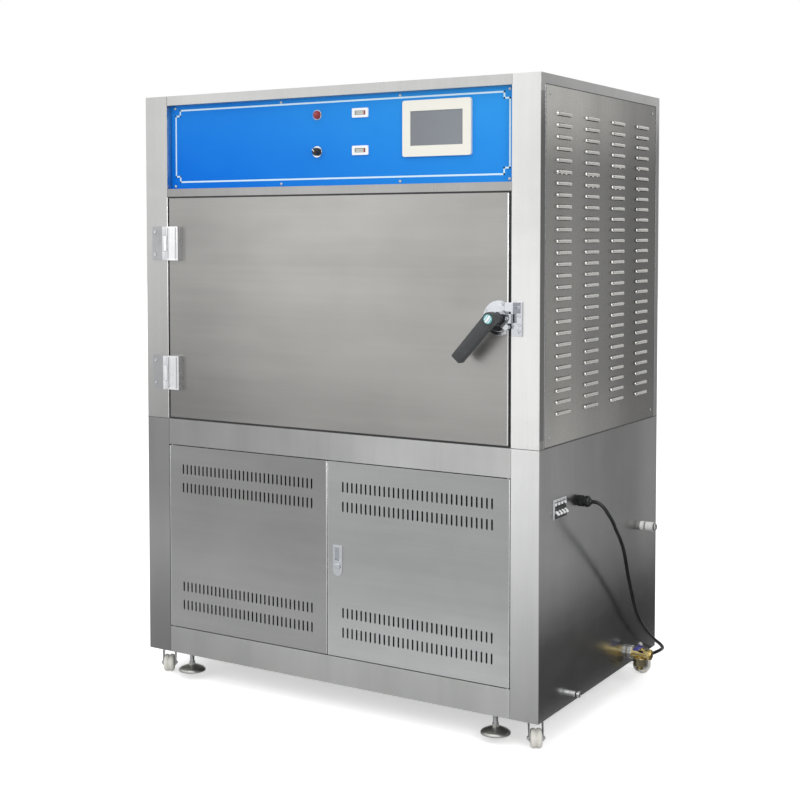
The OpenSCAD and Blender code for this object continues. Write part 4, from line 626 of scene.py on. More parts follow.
@dataclass
class Cabinet:
    """The cabinet's own frame: millimetres, X from its middle, Y from its front, Z from the floor."""

    nodes: dict[str, bpy.types.Object]
    half: float = field(init=False)
    depth: float = field(init=False)
    seam: float = field(init=False)
    top: float = field(init=False)
    bottom: float = field(init=False)
    matrix: Matrix = field(init=False)

    def __post_init__(self) -> None:
        """Reads the cabinet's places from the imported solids."""
        low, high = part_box("upper_cabinet")
        self.half = (high.x - low.x) / MM / 2
        self.depth = (high.y - low.y) / MM
        self.seam = low.z / MM
        self.top = high.z / MM
        self.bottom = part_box("lower_cabinet")[0].z / MM
        self.matrix = Matrix.Translation(((low.x + high.x) / 2, low.y, 0)) @ TO_METRES

    def at(self, x: float, y: float, z: float) -> Vector:
        """Returns a point of the cabinet's frame in the row frame, in metres."""
        return self.matrix @ Vector((x, y, z))

    def box(self, node: str) -> tuple[Vector, Vector]:
        """Returns a solid's lowest and highest corner in the cabinet's frame."""
        low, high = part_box(node)
        back = self.matrix.inverted()
        return back @ low, back @ high

    def dress(self, finish: Finish, *names: str) -> None:
        """Gives the named solids a finish."""
        for name in names:
            mesh = self.nodes[name].data
            mesh.materials.clear()
            mesh.materials.append(finish.material())
            LOG.info("solid %s is finished as %s", name, finish.name)


class Form:
    """A mesh under construction, in the cabinet's millimetres. Each shape's method returns the form."""

    def __init__(self) -> None:
        """Starts an empty mesh."""
        self.mesh = bmesh.new()

    def _move(self, verts: Iterable[bmesh.types.BMVert], matrix: Matrix) -> Form:
        """Moves some points by a matrix."""
        bmesh.ops.transform(self.mesh, matrix=matrix, verts=list(verts))
        return self

    def _bevel(self, edges: Iterable[bmesh.types.BMEdge], radius: float, steps: int) -> list:
        """Rounds some edges and returns the new points."""
        made = bmesh.ops.bevel(
            self.mesh, geom=list(edges), offset=radius, segments=steps, affect="EDGES", profile=0.5)
        return made["verts"]

    def box(self, low: Point, high: Point, round_by: float = 0.0, steps: int = 2) -> Form:
        """Adds a block between two corners.

        Args:
            low: lowest corner.
            high: highest corner.
            round_by: radius of its edges.
            steps: segments of each rounded edge.

        Returns:
            The form.
        """
        made = bmesh.ops.create_cube(self.mesh, size=1.0)["verts"]
        low, high = Vector(low), Vector(high)
        self._move(made, Matrix.Translation((low + high) / 2) @ Matrix.Diagonal((*(high - low), 1)))
        if round_by > 0:
            self._bevel(dict.fromkeys(e for v in made for e in v.link_edges), round_by, steps)
        return self

    def lathe(self, at: Point, axis: Axis, profile: Sequence[Pair], steps: int = 40,
              turn: Matrix | None = None) -> Form:
        """Adds a turned piece.

        Args:
            at: where its axis starts.
            axis: where its axis points.
            profile: pairs of radius and distance along the axis. A closed ring repeats its first pair.
            steps: segments round the axis.
            turn: a matrix applied at the end.

        Returns:
            The form.
        """
        ring = len(profile) > 2 and profile[0] == profile[-1]
        points = list(profile[:-1]) if ring else list(profile)
        angles = [2 * math.pi * k / steps for k in range(steps)]
        rows = [
            [self.mesh.verts.new((radius * math.cos(a), radius * math.sin(a), height)) for a in angles]
            if radius > 0 else [self.mesh.verts.new((0, 0, height))]
            for radius, height in points]
        faces = []
        for low, high in list(zip(rows, rows[1:])) + ([(rows[-1], rows[0])] if ring else []):
            for k in range(steps):
                after = (k + 1) % steps
                corners = list(dict.fromkeys(
                    (low[k % len(low)], low[after % len(low)], high[after % len(high)], high[k % len(high)])))
                if len(corners) > 2:
                    faces.append(self.mesh.faces.new(corners))
        bmesh.ops.recalc_face_normals(self.mesh, faces=faces)
        move = Matrix.Translation(at) @ axis.turn()
        return self._move([v for row in rows for v in row], turn @ move if turn else move)

    def prism(self, outline: Sequence[Pair], front: float, back: float, round_by: float = 0.0,
              steps: int = 2, turn: Matrix | None = None) -> Form:
        """Adds a plate with an outline in X and Z, from one Y to a farther one.

        Args:
            outline: corners of the outline.
            front: nearest Y.
            back: farthest Y.
            round_by: radius of the front edges.
            steps: segments of the rounding.
            turn: a matrix applied at the end.

        Returns:
            The form.
        """
        near, far = ([self.mesh.verts.new((x, y, z)) for x, z in outline] for y in (front, back))
        faces = [self.mesh.faces.new(near), self.mesh.faces.new(list(reversed(far)))]
        for i in range(len(outline)):
            j = (i + 1) % len(outline)
            faces.append(self.mesh.faces.new([near[i], far[i], far[j], near[j]]))
        bmesh.ops.recalc_face_normals(self.mesh, faces=faces)
        verts = near + far
        if round_by > 0:
            made = self._bevel(faces[0].edges, round_by, steps)
            verts = list(dict.fromkeys([v for v in verts if v.is_valid] + list(made)))
        return self if turn is None else self._move(verts, turn)

    def tube(self, points: Sequence[Point], radius: float, sides: int = 10, steps: int = 6) -> Form:
        """Adds a round wire along a smooth line through some points.

        Args:
            points: the points of the line.
            radius: the wire's radius.
            sides: sides of the round.
            steps: stretches between two points.

        Returns:
            The form.
        """
        knots = [Vector(p) for p in (points[0], *points, points[-1])]
        line = []
        for a, b, c, d in zip(knots, knots[1:], knots[2:], knots[3:]):
            for t in (k / steps for k in range(steps)):
                line.append(0.5 * (2 * b + (c - a) * t + (2 * a - 5 * b + 4 * c - d) * t ** 2
                                   + (3 * b - a - 3 * c + d) * t ** 3))
        line.append(knots[-1])
        side = (line[1] - line[0]).orthogonal().normalized()
        angles = [2 * math.pi * k / sides for k in range(sides)]
        rows = []
        for i, at in enumerate(line):
            way = (line[min(i + 1, len(line) - 1)] - line[max(i - 1, 0)]).normalized()
            side = (side - way * side.dot(way)).normalized()
            up = way.cross(side)
            spokes = (math.cos(a) * side + math.sin(a) * up for a in angles)
            rows.append([self.mesh.verts.new(at + radius * spoke) for spoke in spokes])
        faces = [self.mesh.faces.new(rows[0]), self.mesh.faces.new(list(reversed(rows[-1])))]
        for low, high in zip(rows, rows[1:]):
            for k in range(sides):
                after = (k + 1) % sides
                faces.append(self.mesh.faces.new([low[k], low[after], high[after], high[k]]))
        bmesh.ops.recalc_face_normals(self.mesh, faces=faces)
        return self

    def close(self, name: str, matrix: Matrix, smooth: float) -> bpy.types.Object:
        """Closes the form and makes it an object.

        Args:
            name: the object's name.
            matrix: takes the form's millimetres to metres.
            smooth: angle in degrees up to which neighbouring faces are shaded as one.

        Returns:
            The object.
        """
        self.mesh.transform(matrix)
        mesh = bpy.data.meshes.new(name)
        self.mesh.to_mesh(mesh)
        self.mesh.free()
        for polygon in mesh.polygons:
            polygon.use_smooth = True
        mesh.set_sharp_from_angle(angle=math.radians(smooth))
        return linked(name, mesh)


class Repeater:
    """A Geometry Nodes tree that sets copies of a small piece at points, turned as each point says."""

    INPUTS = {"Points": "Geometry", "Unit": "Object", "Unit Size": "Float", "Turn Spread": "Float",
              "Seed": "Int", "Finish": "Material"}

    def __init__(self) -> None:
        """Builds the tree with its named inputs."""
        self.tree = bpy.data.node_groups.new("repeater", "GeometryNodeTree")
        face = self.tree.interface
        self.inputs = {
            name: face.new_socket(name, in_out="INPUT", socket_type=f"NodeSocket{kind}").identifier
            for name, kind in self.INPUTS.items()}
        face.new_socket("Pieces", in_out="OUTPUT", socket_type="NodeSocketGeometry")
        graph = Graph(self.tree)
        given = graph.node("NodeGroupInput")
        info = graph.node(
            "GeometryNodeObjectInfo", {"transform_space": "ORIGINAL"}, {"Object": given["Unit"]})
        turn = graph.node(
            "GeometryNodeInputNamedAttribute", {"data_type": "FLOAT_VECTOR"}, {"Name": "turn"})
        wobble = graph.node("FunctionNodeRandomValue", {"data_type": "FLOAT"}, {
            2: 0.0, 3: given["Turn Spread"], "Seed": given["Seed"]})
        own = graph.node("ShaderNodeCombineXYZ", None, {2: wobble[1]})
        inner = graph.node("FunctionNodeEulerToRotation", None, {0: own[0]})
        outer = graph.node("FunctionNodeEulerToRotation", None, {0: turn[0]})
        both = graph.node(
            "FunctionNodeRotateRotation", {"rotation_space": "LOCAL"}, {0: outer[0], 1: inner[0]})
        copies = graph.node("GeometryNodeInstanceOnPoints", None, {
            "Points": given["Points"], "Instance": info["Geometry"], "Rotation": both[0],
            "Scale": graph.vector(given["Unit Size"])})
        real = graph.node("GeometryNodeRealizeInstances", None, {0: copies[0]})
        coated = graph.node(
            "GeometryNodeSetMaterial", None, {"Geometry": real[0], "Material": given["Finish"]})
        graph.node("NodeGroupOutput", None, {0: coated[0]})

    def run(self, name: str, places: Sequence[Place], unit: Form, finish: Finish, spread: float,
            seed: int) -> bpy.types.Object:
        """Sets the copies and returns them as one plain mesh object.

        Args:
            name: the new object's name.
            places: each copy's point in the row frame and the way that its +Z points.
            unit: the small piece, in millimetres about the origin.
            finish: its finish.
            spread: largest random turn about its own axis, in radians.
            seed: seed of that turn.

        Returns:
            The object, at the origin.
        """
        small = unit.close(name + "_unit", TO_METRES, UNIT_SMOOTH)
        mesh = bpy.data.meshes.new(name + "_points")
        mesh.from_pydata([tuple(p) for p, _ in places], [], [])
        turns = mesh.attributes.new("turn", "FLOAT_VECTOR", "POINT")
        for i, (_, axis) in enumerate(places):
            turns.data[i].vector = axis.turn().to_euler()
        carrier = linked(name + "_carrier", mesh)
        modifier = carrier.modifiers.new("repeat", "NODES")
        modifier.node_group = self.tree
        for key, value in (("Unit", small), ("Unit Size", 1.0), ("Turn Spread", spread), ("Seed", seed),
                           ("Finish", finish.material())):
            modifier[self.inputs[key]] = value
        bpy.context.view_layer.update()
        ready = carrier.evaluated_get(bpy.context.evaluated_depsgraph_get())
        plain = bpy.data.meshes.new_from_object(ready)
        plain.name = name
        bpy.data.objects.remove(carrier)
        bpy.data.objects.remove(small)
        return linked(name, plain)


@dataclass
class Part:
    """A sub-assembly: it dresses its solids, then adds the small pieces that they leave plain."""

    cabinet: Cabinet
    repeater: Repeater
    finishes: ClassVar[tuple[tuple, ...]] = ()

    def build(self) -> None:
        """Dresses the solids and adds the pieces."""
        for finish, *names in self.finishes:
            self.cabinet.dress(finish, *names)
        self.add()

    def add(self) -> None:
        """Adds the pieces. Each sub-assembly writes its own."""
        raise NotImplementedError

    def piece(self, form: Form, name: str, finish: Finish, slot: str, body: str = "cabinet",
              smooth: float = 32.0, replaces: Sequence[str] = ()) -> None:
        """Closes a form and makes it a piece that rides on a body.

        Args:
            form: the form.
            name: the piece's name.
            finish: its finish.
            slot: the record's material slot for its finish; not used.
            body: the body that it rides on.
            smooth: angle in degrees up to which neighbouring faces are shaded as one.
            replaces: solids that it stands for.
        """
        bmesh.ops.remove_doubles(form.mesh, verts=form.mesh.verts, dist=WELD)
        self._settle(form.close(name, self.cabinet.matrix, smooth), finish, slot, body, replaces)

    def copies(self, unit: Form, name: str, finish: Finish, slot: str, places: Sequence[Place], seed: int,
               spread: float = 0.0, body: str = "cabinet", replaces: Sequence[str] = ()) -> None:
        """Sets copies of a small piece as Repeater.run() does and makes them one piece as piece() does."""
        made = self.repeater.run(name, places, unit, finish, spread, seed)
        self._settle(made, finish, slot, body, replaces)

    @staticmethod
    def _settle(made: bpy.types.Object, finish: Finish, slot: str, body: str,
                replaces: Sequence[str]) -> None:
        """Gives an object its material, body and stand-ins."""
        made.data.materials.clear()
        made.data.materials.append(finish.material())
        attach(made, body)
        if replaces:
            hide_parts(*replaces)
        LOG.info("piece %s rides on %s", made.name, body)


@dataclass
class Shell(Part):
    """Both cabinets, the side panels and the rear cover, with their screws and seams."""

    finishes: ClassVar = (
        (SHELL, "upper_cabinet"), (BASE_SHELL, "lower_cabinet"), (REAR_SHEET, "rear_panel"))
    post: float = 80.0
    top_rail: float = 27.0
    control: float = 241.0
    strip: float = 24.0
    lower_rail: float = 76.0
    seam_w: float = 1.6
    seam_out: float = 0.25
    screw_r: float = 4.0
    screw_h: float = 2.2
    gap_w: float = 1.8
    panel_screws: tuple[tuple, tuple] = ((-544, -164, 222, 544), (1445, 1670))
    rear_screws: tuple[tuple, tuple] = ((-626, 0, 626), (781, 1692))
    side_screws: tuple[tuple, tuple] = ((55, 745), (791, 1656))
    panel_y: float = 20.0
    rear_out: float = 1.5
    louvre_margin: float = 54.0
    louvre_h: float = 15.0
    louvre_pitch: float = 29.3
    louvre_rise: float = 5.0

    def add(self) -> None:
        """Dresses the louvred panels and adds the screws, seams and gaps."""
        self.cabinet.dress(
            replace(LOUVRE_SHEET, first=self.louvre_first()), "left_louvre_panel", "right_louvre_panel")
        self.screws()
        self.seams()
        self.panel_gaps()

    def louvre_first(self) -> float:
        """Returns a height in metres that lies midway between two rows of hoods."""
        low, high = self.cabinet.box("right_louvre_panel")
        room = high.z - low.z - 2 * self.louvre_margin - self.louvre_h
        rows = math.floor(room / self.louvre_pitch) + 1
        middle = (low.z + high.z) / 2 + self.louvre_rise
        LOG.info("the louvred panels have %d rows", rows)
        return (middle if rows % 2 == 0 else middle - self.louvre_pitch / 2) * MM

    def panel_gaps(self) -> None:
        """Adds the dark gap round each louvred panel and, in front of it and behind it, a bright strip that
        paints the highlight on the folded edge.
        """
        dark, bright = Form(), Form()
        half, w = self.cabinet.half, self.gap_w
        for side, node in zip(SIDES, ("left_louvre_panel", "right_louvre_panel")):
            low, high = self.cabinet.box(node)
            x0, x1 = sorted((side * (half - 1.0), side * (half + 0.15)))
            for y0, z0, y1, z1 in (
                    (low.y, high.z - 0.4, high.y, high.z + w), (low.y, low.z - w, high.y, low.z + 0.4),
                    (low.y - w, low.z, low.y + 0.4, high.z), (high.y - 0.4, low.z, high.y + w, high.z)):
                dark.box((x0, y0, z0), (x1, y1, z1))
            # Bright strips: painted highlights on the folded edges.
            for y0, y1 in ((low.y - w - 2.4, low.y - w), (high.y + w, high.y + w + 2.2)):
                bright.box((x0, y0, low.z), (x1 + 0.2 * (side > 0), y1, high.z))
        self.piece(dark, "panel_gaps", SEAM_DARK, "stainless_dark")
        self.piece(bright, "panel_edges", BRIGHT_CAST, "stainless")

    def screws(self) -> None:
        """Sets detailed pan-head screws where the solids have plain ones."""
        cab, r, h = self.cabinet, self.screw_r, self.screw_h
        rear = cab.depth + self.rear_out
        places = [(cab.at(x, self.panel_y, z), Axis.FRONT) for x, z in product(*self.panel_screws)]
        places += [(cab.at(x, rear, z), Axis.BACK) for x, z in product(*self.rear_screws)]
        for side, axis in ((1, Axis.RIGHT), (-1, Axis.LEFT)):
            places += [(cab.at(side * cab.half, y, z), axis) for y, z in product(*self.side_screws)]
        unit = Form().lathe(ORIGIN, Axis.UP, [
            (0, -7), (1.6, -7), (2, -6), (2, 0), (r, 0), (r, h * 0.45), (r * 0.86, h * 0.8),
            (r * 0.55, h), (1.3, h), (0.5, h - 1.2), (0, h - 1.3)], 20)
        self.copies(unit, "screw_heads", ZINC_PLATE, "steel", places, 7, math.pi,
                    replaces=("panel_screws",))

    def seams(self) -> None:
        """Adds the dark lines where sheets of the frame meet."""
        cab = self.cabinet
        edge, w, out = cab.half + self.seam_out, self.seam_w / 2, self.seam_out
        form = Form().box((-edge, -out, cab.seam - w), (edge, cab.depth + out, cab.seam + w))
        control_top = cab.top - self.top_rail
        control_low = control_top - self.control
        rails = (
            (control_top, cab.top - 1), (control_low - self.strip, control_low),
            (cab.seam - self.lower_rail, cab.seam - 3), (cab.bottom + 1, cab.bottom + self.lower_rail))
        for x in (side * (cab.half - self.post) for side in SIDES):
            for low, high in rails:
                form.box((x - w * 0.6, -out, low), (x + w * 0.6, 1.0, high))
        self.piece(form, "seam_lines", SEAM_DARK, "stainless_dark")


@dataclass
class ControlPanel(Part):
    """The blue panel with its printed border and everything mounted on it."""

    finishes: ClassVar = (
        (PANEL_PRINT, "control_panel"), (CREAM_BEZEL, "screen_bezel"), (DISPLAY, "screen_glass"),
        (WHITE_SHELL, "hour_counters"), (BRIGHT_CAST, "switch_body"))
    face: float = 20.0
    border_w: float = 4.5
    border_x: Pair = (-542.0, 544.5)
    border_z: Pair = (1457.0, 1663.6)
    notch: float = 16.0
    lamp_x: float = -42.0
    rows: Pair = (1530.0, 1630.0)
    knob_deg: float = -45.0
    counter_x: float = 98.0
    wheels: int = 6
    wheel_w: float = 4.6
    wheel_gap: float = 0.5
    zero: Point = (2.3, 4.6, 0.55)

    def add(self) -> None:
        """Adds the panel's small pieces."""
        self.border()
        self.alarm_lamp()
        self.knob()
        self.counters()

    def border(self) -> None:
        """Adds the printed border line, notched round the corner screws."""
        (x0, x1), (z0, z1) = self.border_x, self.border_z
        n, h = self.notch, self.border_w / 2
        line = [
            (x0 + n, z0), (x1 - n, z0), (x1 - n, z0 + n), (x1, z0 + n), (x1, z1 - n), (x1 - n, z1 - n),
            (x1 - n, z1), (x0 + n, z1), (x0 + n, z1 - n), (x0, z1 - n), (x0, z0 + n), (x0 + n, z0 + n)]
        form = Form()
        for (ax, az), (bx, bz) in zip(line, line[1:] + line[:1]):
            form.box((min(ax, bx) - h, self.face - 0.15, min(az, bz) - h),
                     (max(ax, bx) + h, self.face + 0.2, max(az, bz) + h))
        self.piece(form, "panel_border", BORDER_PRINT, "white_plastic")

    def alarm_lamp(self) -> None:
        """Adds the lamp's chromed ring and its ribbed lens."""
        at = (self.lamp_x, self.face, self.rows[1])
        ring = Form().lathe(at, Axis.FRONT, [
            (11.4, 0), (14.5, 0), (14.5, 1.6), (13.6, 3), (12.4, 3.2), (11.4, 2.4), (11.4, 0)])
        self.piece(ring, "alarm_ring", BRIGHT_CAST, "cast_steel")
        profile = [(0, 0), (11.3, 0), (11.3, 5.2)]
        for radius in (11.0 - i * 1.7 for i in range(6)):
            height = 6.0 + 8.2 * (1 - (radius / 11.0) ** 2)
            profile += [(radius, height), (radius - 0.85, height + 0.5)]
        lens = Form().lathe(at, Axis.FRONT, profile + [(0, 15.2)])
        lens.lathe(at, Axis.BACK, [(0, 0.1), (10.8, 0.1), (10.8, 40), (9, 48), (0, 48)])
        self.piece(lens, "alarm_lens", RED_LENS, "red_lens", smooth=20, replaces=("alarm_lamp",))

    def knob(self) -> None:
        """Adds the rotary knob with its pale pointer."""
        x, z = self.lamp_x, self.rows[0]
        turn = placed((x, 0, z), self.knob_deg)
        body = Form().lathe((x, 16.6, z), Axis.FRONT, [
            (0, -10), (3, -10), (3, 0), (11, 0), (11, 5.5), (10.2, 8.6), (9.4, 9), (0, 9)])
        body.prism(rect(-2.6, -10, 2.6, 10), 3.6, 8.6, 0.8, 2, turn)
        self.piece(body, "knob_body", BLACK_PART, "black_plastic", "switch_knob", 30, ("switch_knob",))
        mark = Form().prism(rect(-1.1, 1, 1.1, 9.6), 3.4, 4.2, turn=turn)
        self.piece(mark, "knob_mark", WHITE_SHELL, "white_plastic", "switch_knob")

    def counters(self) -> None:
        """Adds the sunk windows and the number wheels of the hour counters, each wheel with a 0."""
        window, digits, tenths, marks = Form(), Form(), Form(), Form()
        w, h, t = self.zero
        strokes = (rect(-w / 2, -h / 2, w / 2, t - h / 2), rect(-w / 2, h / 2 - t, w / 2, h / 2),
                   rect(-w / 2, -h / 2, t - w / 2, h / 2), rect(w / 2 - t, -h / 2, w / 2, h / 2))
        for z in self.rows:
            window.prism(rounded((self.counter_x, z), 34, 11, 0.8, 2), 18.6, 19.2)
            for i in range(self.wheels):
                x = self.counter_x + (i - (self.wheels - 1) / 2) * (self.wheel_w + self.wheel_gap)
                target = tenths if i == self.wheels - 1 else digits
                target.prism(rounded((x, z), self.wheel_w, 8.4, 0.6, 2), 18.2, 18.7)
                for low, _, high, _ in strokes:
                    marks.box((x + low[0], 18.05, z + low[1]), (x + high[0], 18.25, z + high[1]))
        self.piece(window, "counter_windows", COUNTER_DARK, "black_plastic")
        self.piece(digits, "counter_wheels", COUNTER_DIGIT, "white_plastic")
        self.piece(tenths, "counter_tenths", RED_WHEEL, "red_lens")
        self.piece(marks, "counter_zeros", BLACK_PART, "black_plastic")


@dataclass
class MainDoor(Part):
    """The chamber door with its hinges, latch and lever."""

    finishes: ClassVar = (
        (DOOR_SHEET, "door_outer"), (LINER_SHEET, "door_inner"), (SEAL_RUBBER, "door_gasket"),
        (HINGE_CAST, "hinge_blocks"), (LEAF_STEEL, "hinge_leaves"),
        (BRIGHT_CAST, "latch_base", "latch_cam", "latch_strike"))
    post: float = 80.0
    latch_x: float = 527.0
    latch_z: float = 1095.0
    lever_y: Pair = (-62.0, -38.0)
    lever_len: float = 142.0
    lever_w: float = 33.0
    lever_deg: float = 228.0
    head_r: float = 17.5
    stripe_deg: float = 38.0
    stripe_r: float = 10.6
    shadow_strip_y: Pair = (4.0, 27.6)
    hinge_at: Pair = (-560.0, -11.0)
    hinge_h: float = 98.0
    block_t: float = 17.0
    knuckle_r: float = 9.0
    knuckle_h: float = 26.46
    base_bolts: tuple[Pair, ...] = ((-33, 18), (-33, -18), (12, 37), (12, -37))
    strike_bolts: tuple[float, ...] = (28, 6, -16, -30)
    strike_x: float = 584.0
    leaf_x: float = -604.0
    leaf_bolts: tuple[tuple, tuple] = ((854, 1230), (16, 82))

    def add(self) -> None:
        """Adds the lever, the fixings, the black strips that paint the shadow in the door's gaps and the
        bright strips that paint the highlights on its edges.
        """
        self.lever()
        self.bolts()
        self.paint_gap_shadows()
        self.hinge_lines()
        self.knuckles()
        self.door_rim()

    def paint_gap_shadows(self) -> None:
        """Adds black strips in the gap round the door and along its top and bottom, which paint the shadow in
        the gap.
        """
        low, high = self.cabinet.box("door_outer")
        inner = self.cabinet.half - self.post
        y0, y1 = self.shadow_strip_y
        bottom, top = low.z - 4.0, high.z + 4.0
        form = Form()
        for x0, x1 in ((-inner + 0.3, low.x - 0.5), (high.x + 0.5, inner - 0.3)):
            form.box((x0, y0, bottom), (x1, y1, top), 0.6, 1)
        for z0, z1 in ((bottom + 0.3, low.z - 0.5), (high.z + 0.5, top - 0.3)):
            form.box((low.x, y0, z0), (high.x, y1, z1), 0.6, 1)
        for z0, z1 in ((low.z - 4.6, low.z - 0.4), (high.z + 0.4, high.z + 4.8)):
            form.box((-inner + 0.4, -0.5, z0), (inner - 0.4, 6.0, z1), 0.4, 1)
        self.piece(form, "gap_seal", BLACK_PART, "rubber_black")

    def door_rim(self) -> None:
        """Adds bright strips on the door's right edge and on the left post's inner edge, which paint the
        highlights on the folded edges, and black strips at both door edges, which paint the shadow in the
        gaps.
        """
        low, high = self.cabinet.box("door_outer")
        inner, z0, z1 = self.cabinet.half - self.post, low.z + 1, high.z - 1
        # Bright strips: painted highlights on the folded edges; black strips: painted shadow in the gaps.
        right_highlight = Form().box((high.x - 3.4, -0.3, z0), (high.x + 0.25, 2.0, z1), 0.5)
        edge = Form().box((low.x - 0.3, -0.35, z0), (low.x + 2.6, 12.0, z1), 0.4, 1)
        edge.box((high.x - 0.6, 2.1, z0), (high.x + 0.7, 20.0, z1), 0.4, 1)
        post = Form().box((-inner - 2.6, -0.3, low.z - 3), (-inner + 0.3, 12.0, high.z + 3), 0.5)
        self.piece(right_highlight, "door_rim", BRIGHT_STEEL_AND_HIGHLIGHT, "stainless", "main_door")
        self.piece(edge, "door_edge_seals", BLACK_PART, "rubber_black", "main_door")
        self.piece(post, "post_rim", BRIGHT_STEEL_AND_HIGHLIGHT, "stainless")

    def knuckles(self) -> None:
        """Adds a bright sleeve on each knuckle of the hinges, three to a hinge."""
        low, high = self.cabinet.box("hinge_blocks")
        r, tall, end = self.knuckle_r, self.hinge_h, self.knuckle_h
        still, moving = Form(), Form()
        for z in (low.z, high.z - tall):
            for form, z0, z1 in (
                    (still, 0.0, end), (moving, end + 0.5, tall - end - 0.5), (still, tall - end, tall)):
                h = z1 - z0
                form.lathe((*self.hinge_at, z + z0), Axis.UP, [
                    (r - 0.6, 0), (r + 0.1, 0), (r + 0.35, 0.5), (r + 0.35, h - 0.5), (r + 0.1, h),
                    (r - 0.6, h), (r - 0.6, 0)], 32)
        self.piece(still, "leaf_knuckles", KNUCKLE_WHITE, "cast_steel")
        self.piece(moving, "block_knuckles", KNUCKLE_WHITE, "cast_steel", "main_door")

    def hinge_lines(self) -> None:
        """Adds grey lines on the hinge blocks for the fine upright grooves, whose shade they paint, and for
        the split lines.
        """
        low, high = self.cabinet.box("hinge_blocks")
        left, face = self.hinge_at[0] + self.knuckle_r + 0.5, -self.block_t
        form = Form()
        for z in (low.z, high.z - self.hinge_h):
            for x in (left + 3.0, left + 5.0, left + 7.0, high.x - 9.0, high.x - 7.0):
                form.box((x - 0.35, face - 0.12, z + 2), (x + 0.35, face + 0.5, z + self.hinge_h - 2))
        self.piece(form, "hinge_grooves", GROOVE_GREY, "cast_steel", "main_door")

    def lever(self) -> None:
        """Adds the grip with its head, cap and rounded edges."""
        at, h, r, tip = (self.latch_x, 0, self.latch_z), self.lever_w / 2, self.head_r, self.lever_len
        slim = h * 0.92
        outline = [(-h * 0.2, -h), (tip - 5, -slim)] + arc((tip - 4, -slim + 4), 4, -90, 0, 3)[1:]
        outline += arc((tip - 4, slim - 4), 4, 0, 90, 3) + [(-h * 0.2, h)]
        grip = Form().prism(outline, *self.lever_y, 2.4, 3, placed(at, -self.lever_deg))
        grip.lathe(at, Axis.FRONT, [
            (8.1, 21.4), (13, 21.4), (13, 37), (r - 1, 37.6), (r, 39), (r, 59.5), (r - 2, 62.4),
            (14.6, 62.8), (14.6, 63.6), (13.2, 64.2), (12.4, 63.4), (0, 63.4)], 44)
        self.piece(grip, "lever_grip", BLACK_GRIP, "lever_grey", "latch", 34, ("latch_lever",))
        cap = Form().lathe(at, Axis.FRONT, [(0, 63), (12, 63), (12, 64.4), (11.2, 65), (0, 65)], 36)
        self.piece(cap, "lever_cap", CAP_DISC, "white_plastic", "latch")
        stripe = Form()
        for offset, half in ((0.0, 3.0), (-6.2, 1.1), (6.2, 1.1)):
            reach = math.sqrt(self.stripe_r ** 2 - (abs(offset) + half) ** 2)
            stripe.prism(rect(offset - half, -reach, offset + half, reach), -65.35, -64.8,
                         turn=placed(at, self.stripe_deg))
        self.piece(stripe, "cap_stripe", WHITE_SHELL, "white_plastic", "latch")

    def bolts(self) -> None:
        """Sets socket-head bolts on the latch base, the cam, the strike and the hinge leaves."""
        x, z = self.latch_x, self.latch_z
        strike = [(self.strike_x, -4, z + dz) for dz in self.strike_bolts]
        leaf = [(self.leaf_x, -5, low + dz) for low, dz in product(*self.leaf_bolts)]
        for name, body, points in (
                ("base_bolts", "main_door", [(x + dx, -5, z + dz) for dx, dz in self.base_bolts]),
                ("cam_bolt", "latch", [(x + 30, -20.4, z)]), ("strike_bolts", "cabinet", strike + leaf)):
            unit = Form().lathe(ORIGIN, Axis.UP, [
                (0, -0.4), (4.2, -0.4), (4.2, 1.6), (3.6, 2.2), (2.1, 2.2), (2.1, 0.8), (0, 0.8)], 18)
            places = [(self.cabinet.at(*point), Axis.FRONT) for point in points]
            self.copies(unit, name, BRIGHT_CAST, "cast_steel", places, 11, math.pi, body)


@dataclass
class LowerDoors(Part):
    """The two slotted doors with the lock and the catches."""

    finishes: ClassVar = (
        (SHADED_LEFT_BAY_SHEET, "left_lower_door"), (LIT_RIGHT_BAY_SHEET, "right_lower_door"),
        (BRIGHT_CAST, "lock_body", "lock_cylinder"), (BLACK_PART, "magnet_catches"))

    def add(self) -> None:
        """Adds bright strips on both doors' edges, which paint the highlights on the folded edges."""
        for side in ("left", "right"):
            node, form = f"{side}_lower_door", Form()
            low, high = self.cabinet.box(node)
            for x0, x1 in ((low.x - 0.2, low.x + 1.2), (high.x - 1.8, high.x + 0.2)):
                form.box((x0, -0.25, low.z + 1), (x1, 10.0, high.z - 1), 0.4)
            self.piece(form, f"{side}_rims", BRIGHT_STEEL_AND_HIGHLIGHT, "stainless", node)


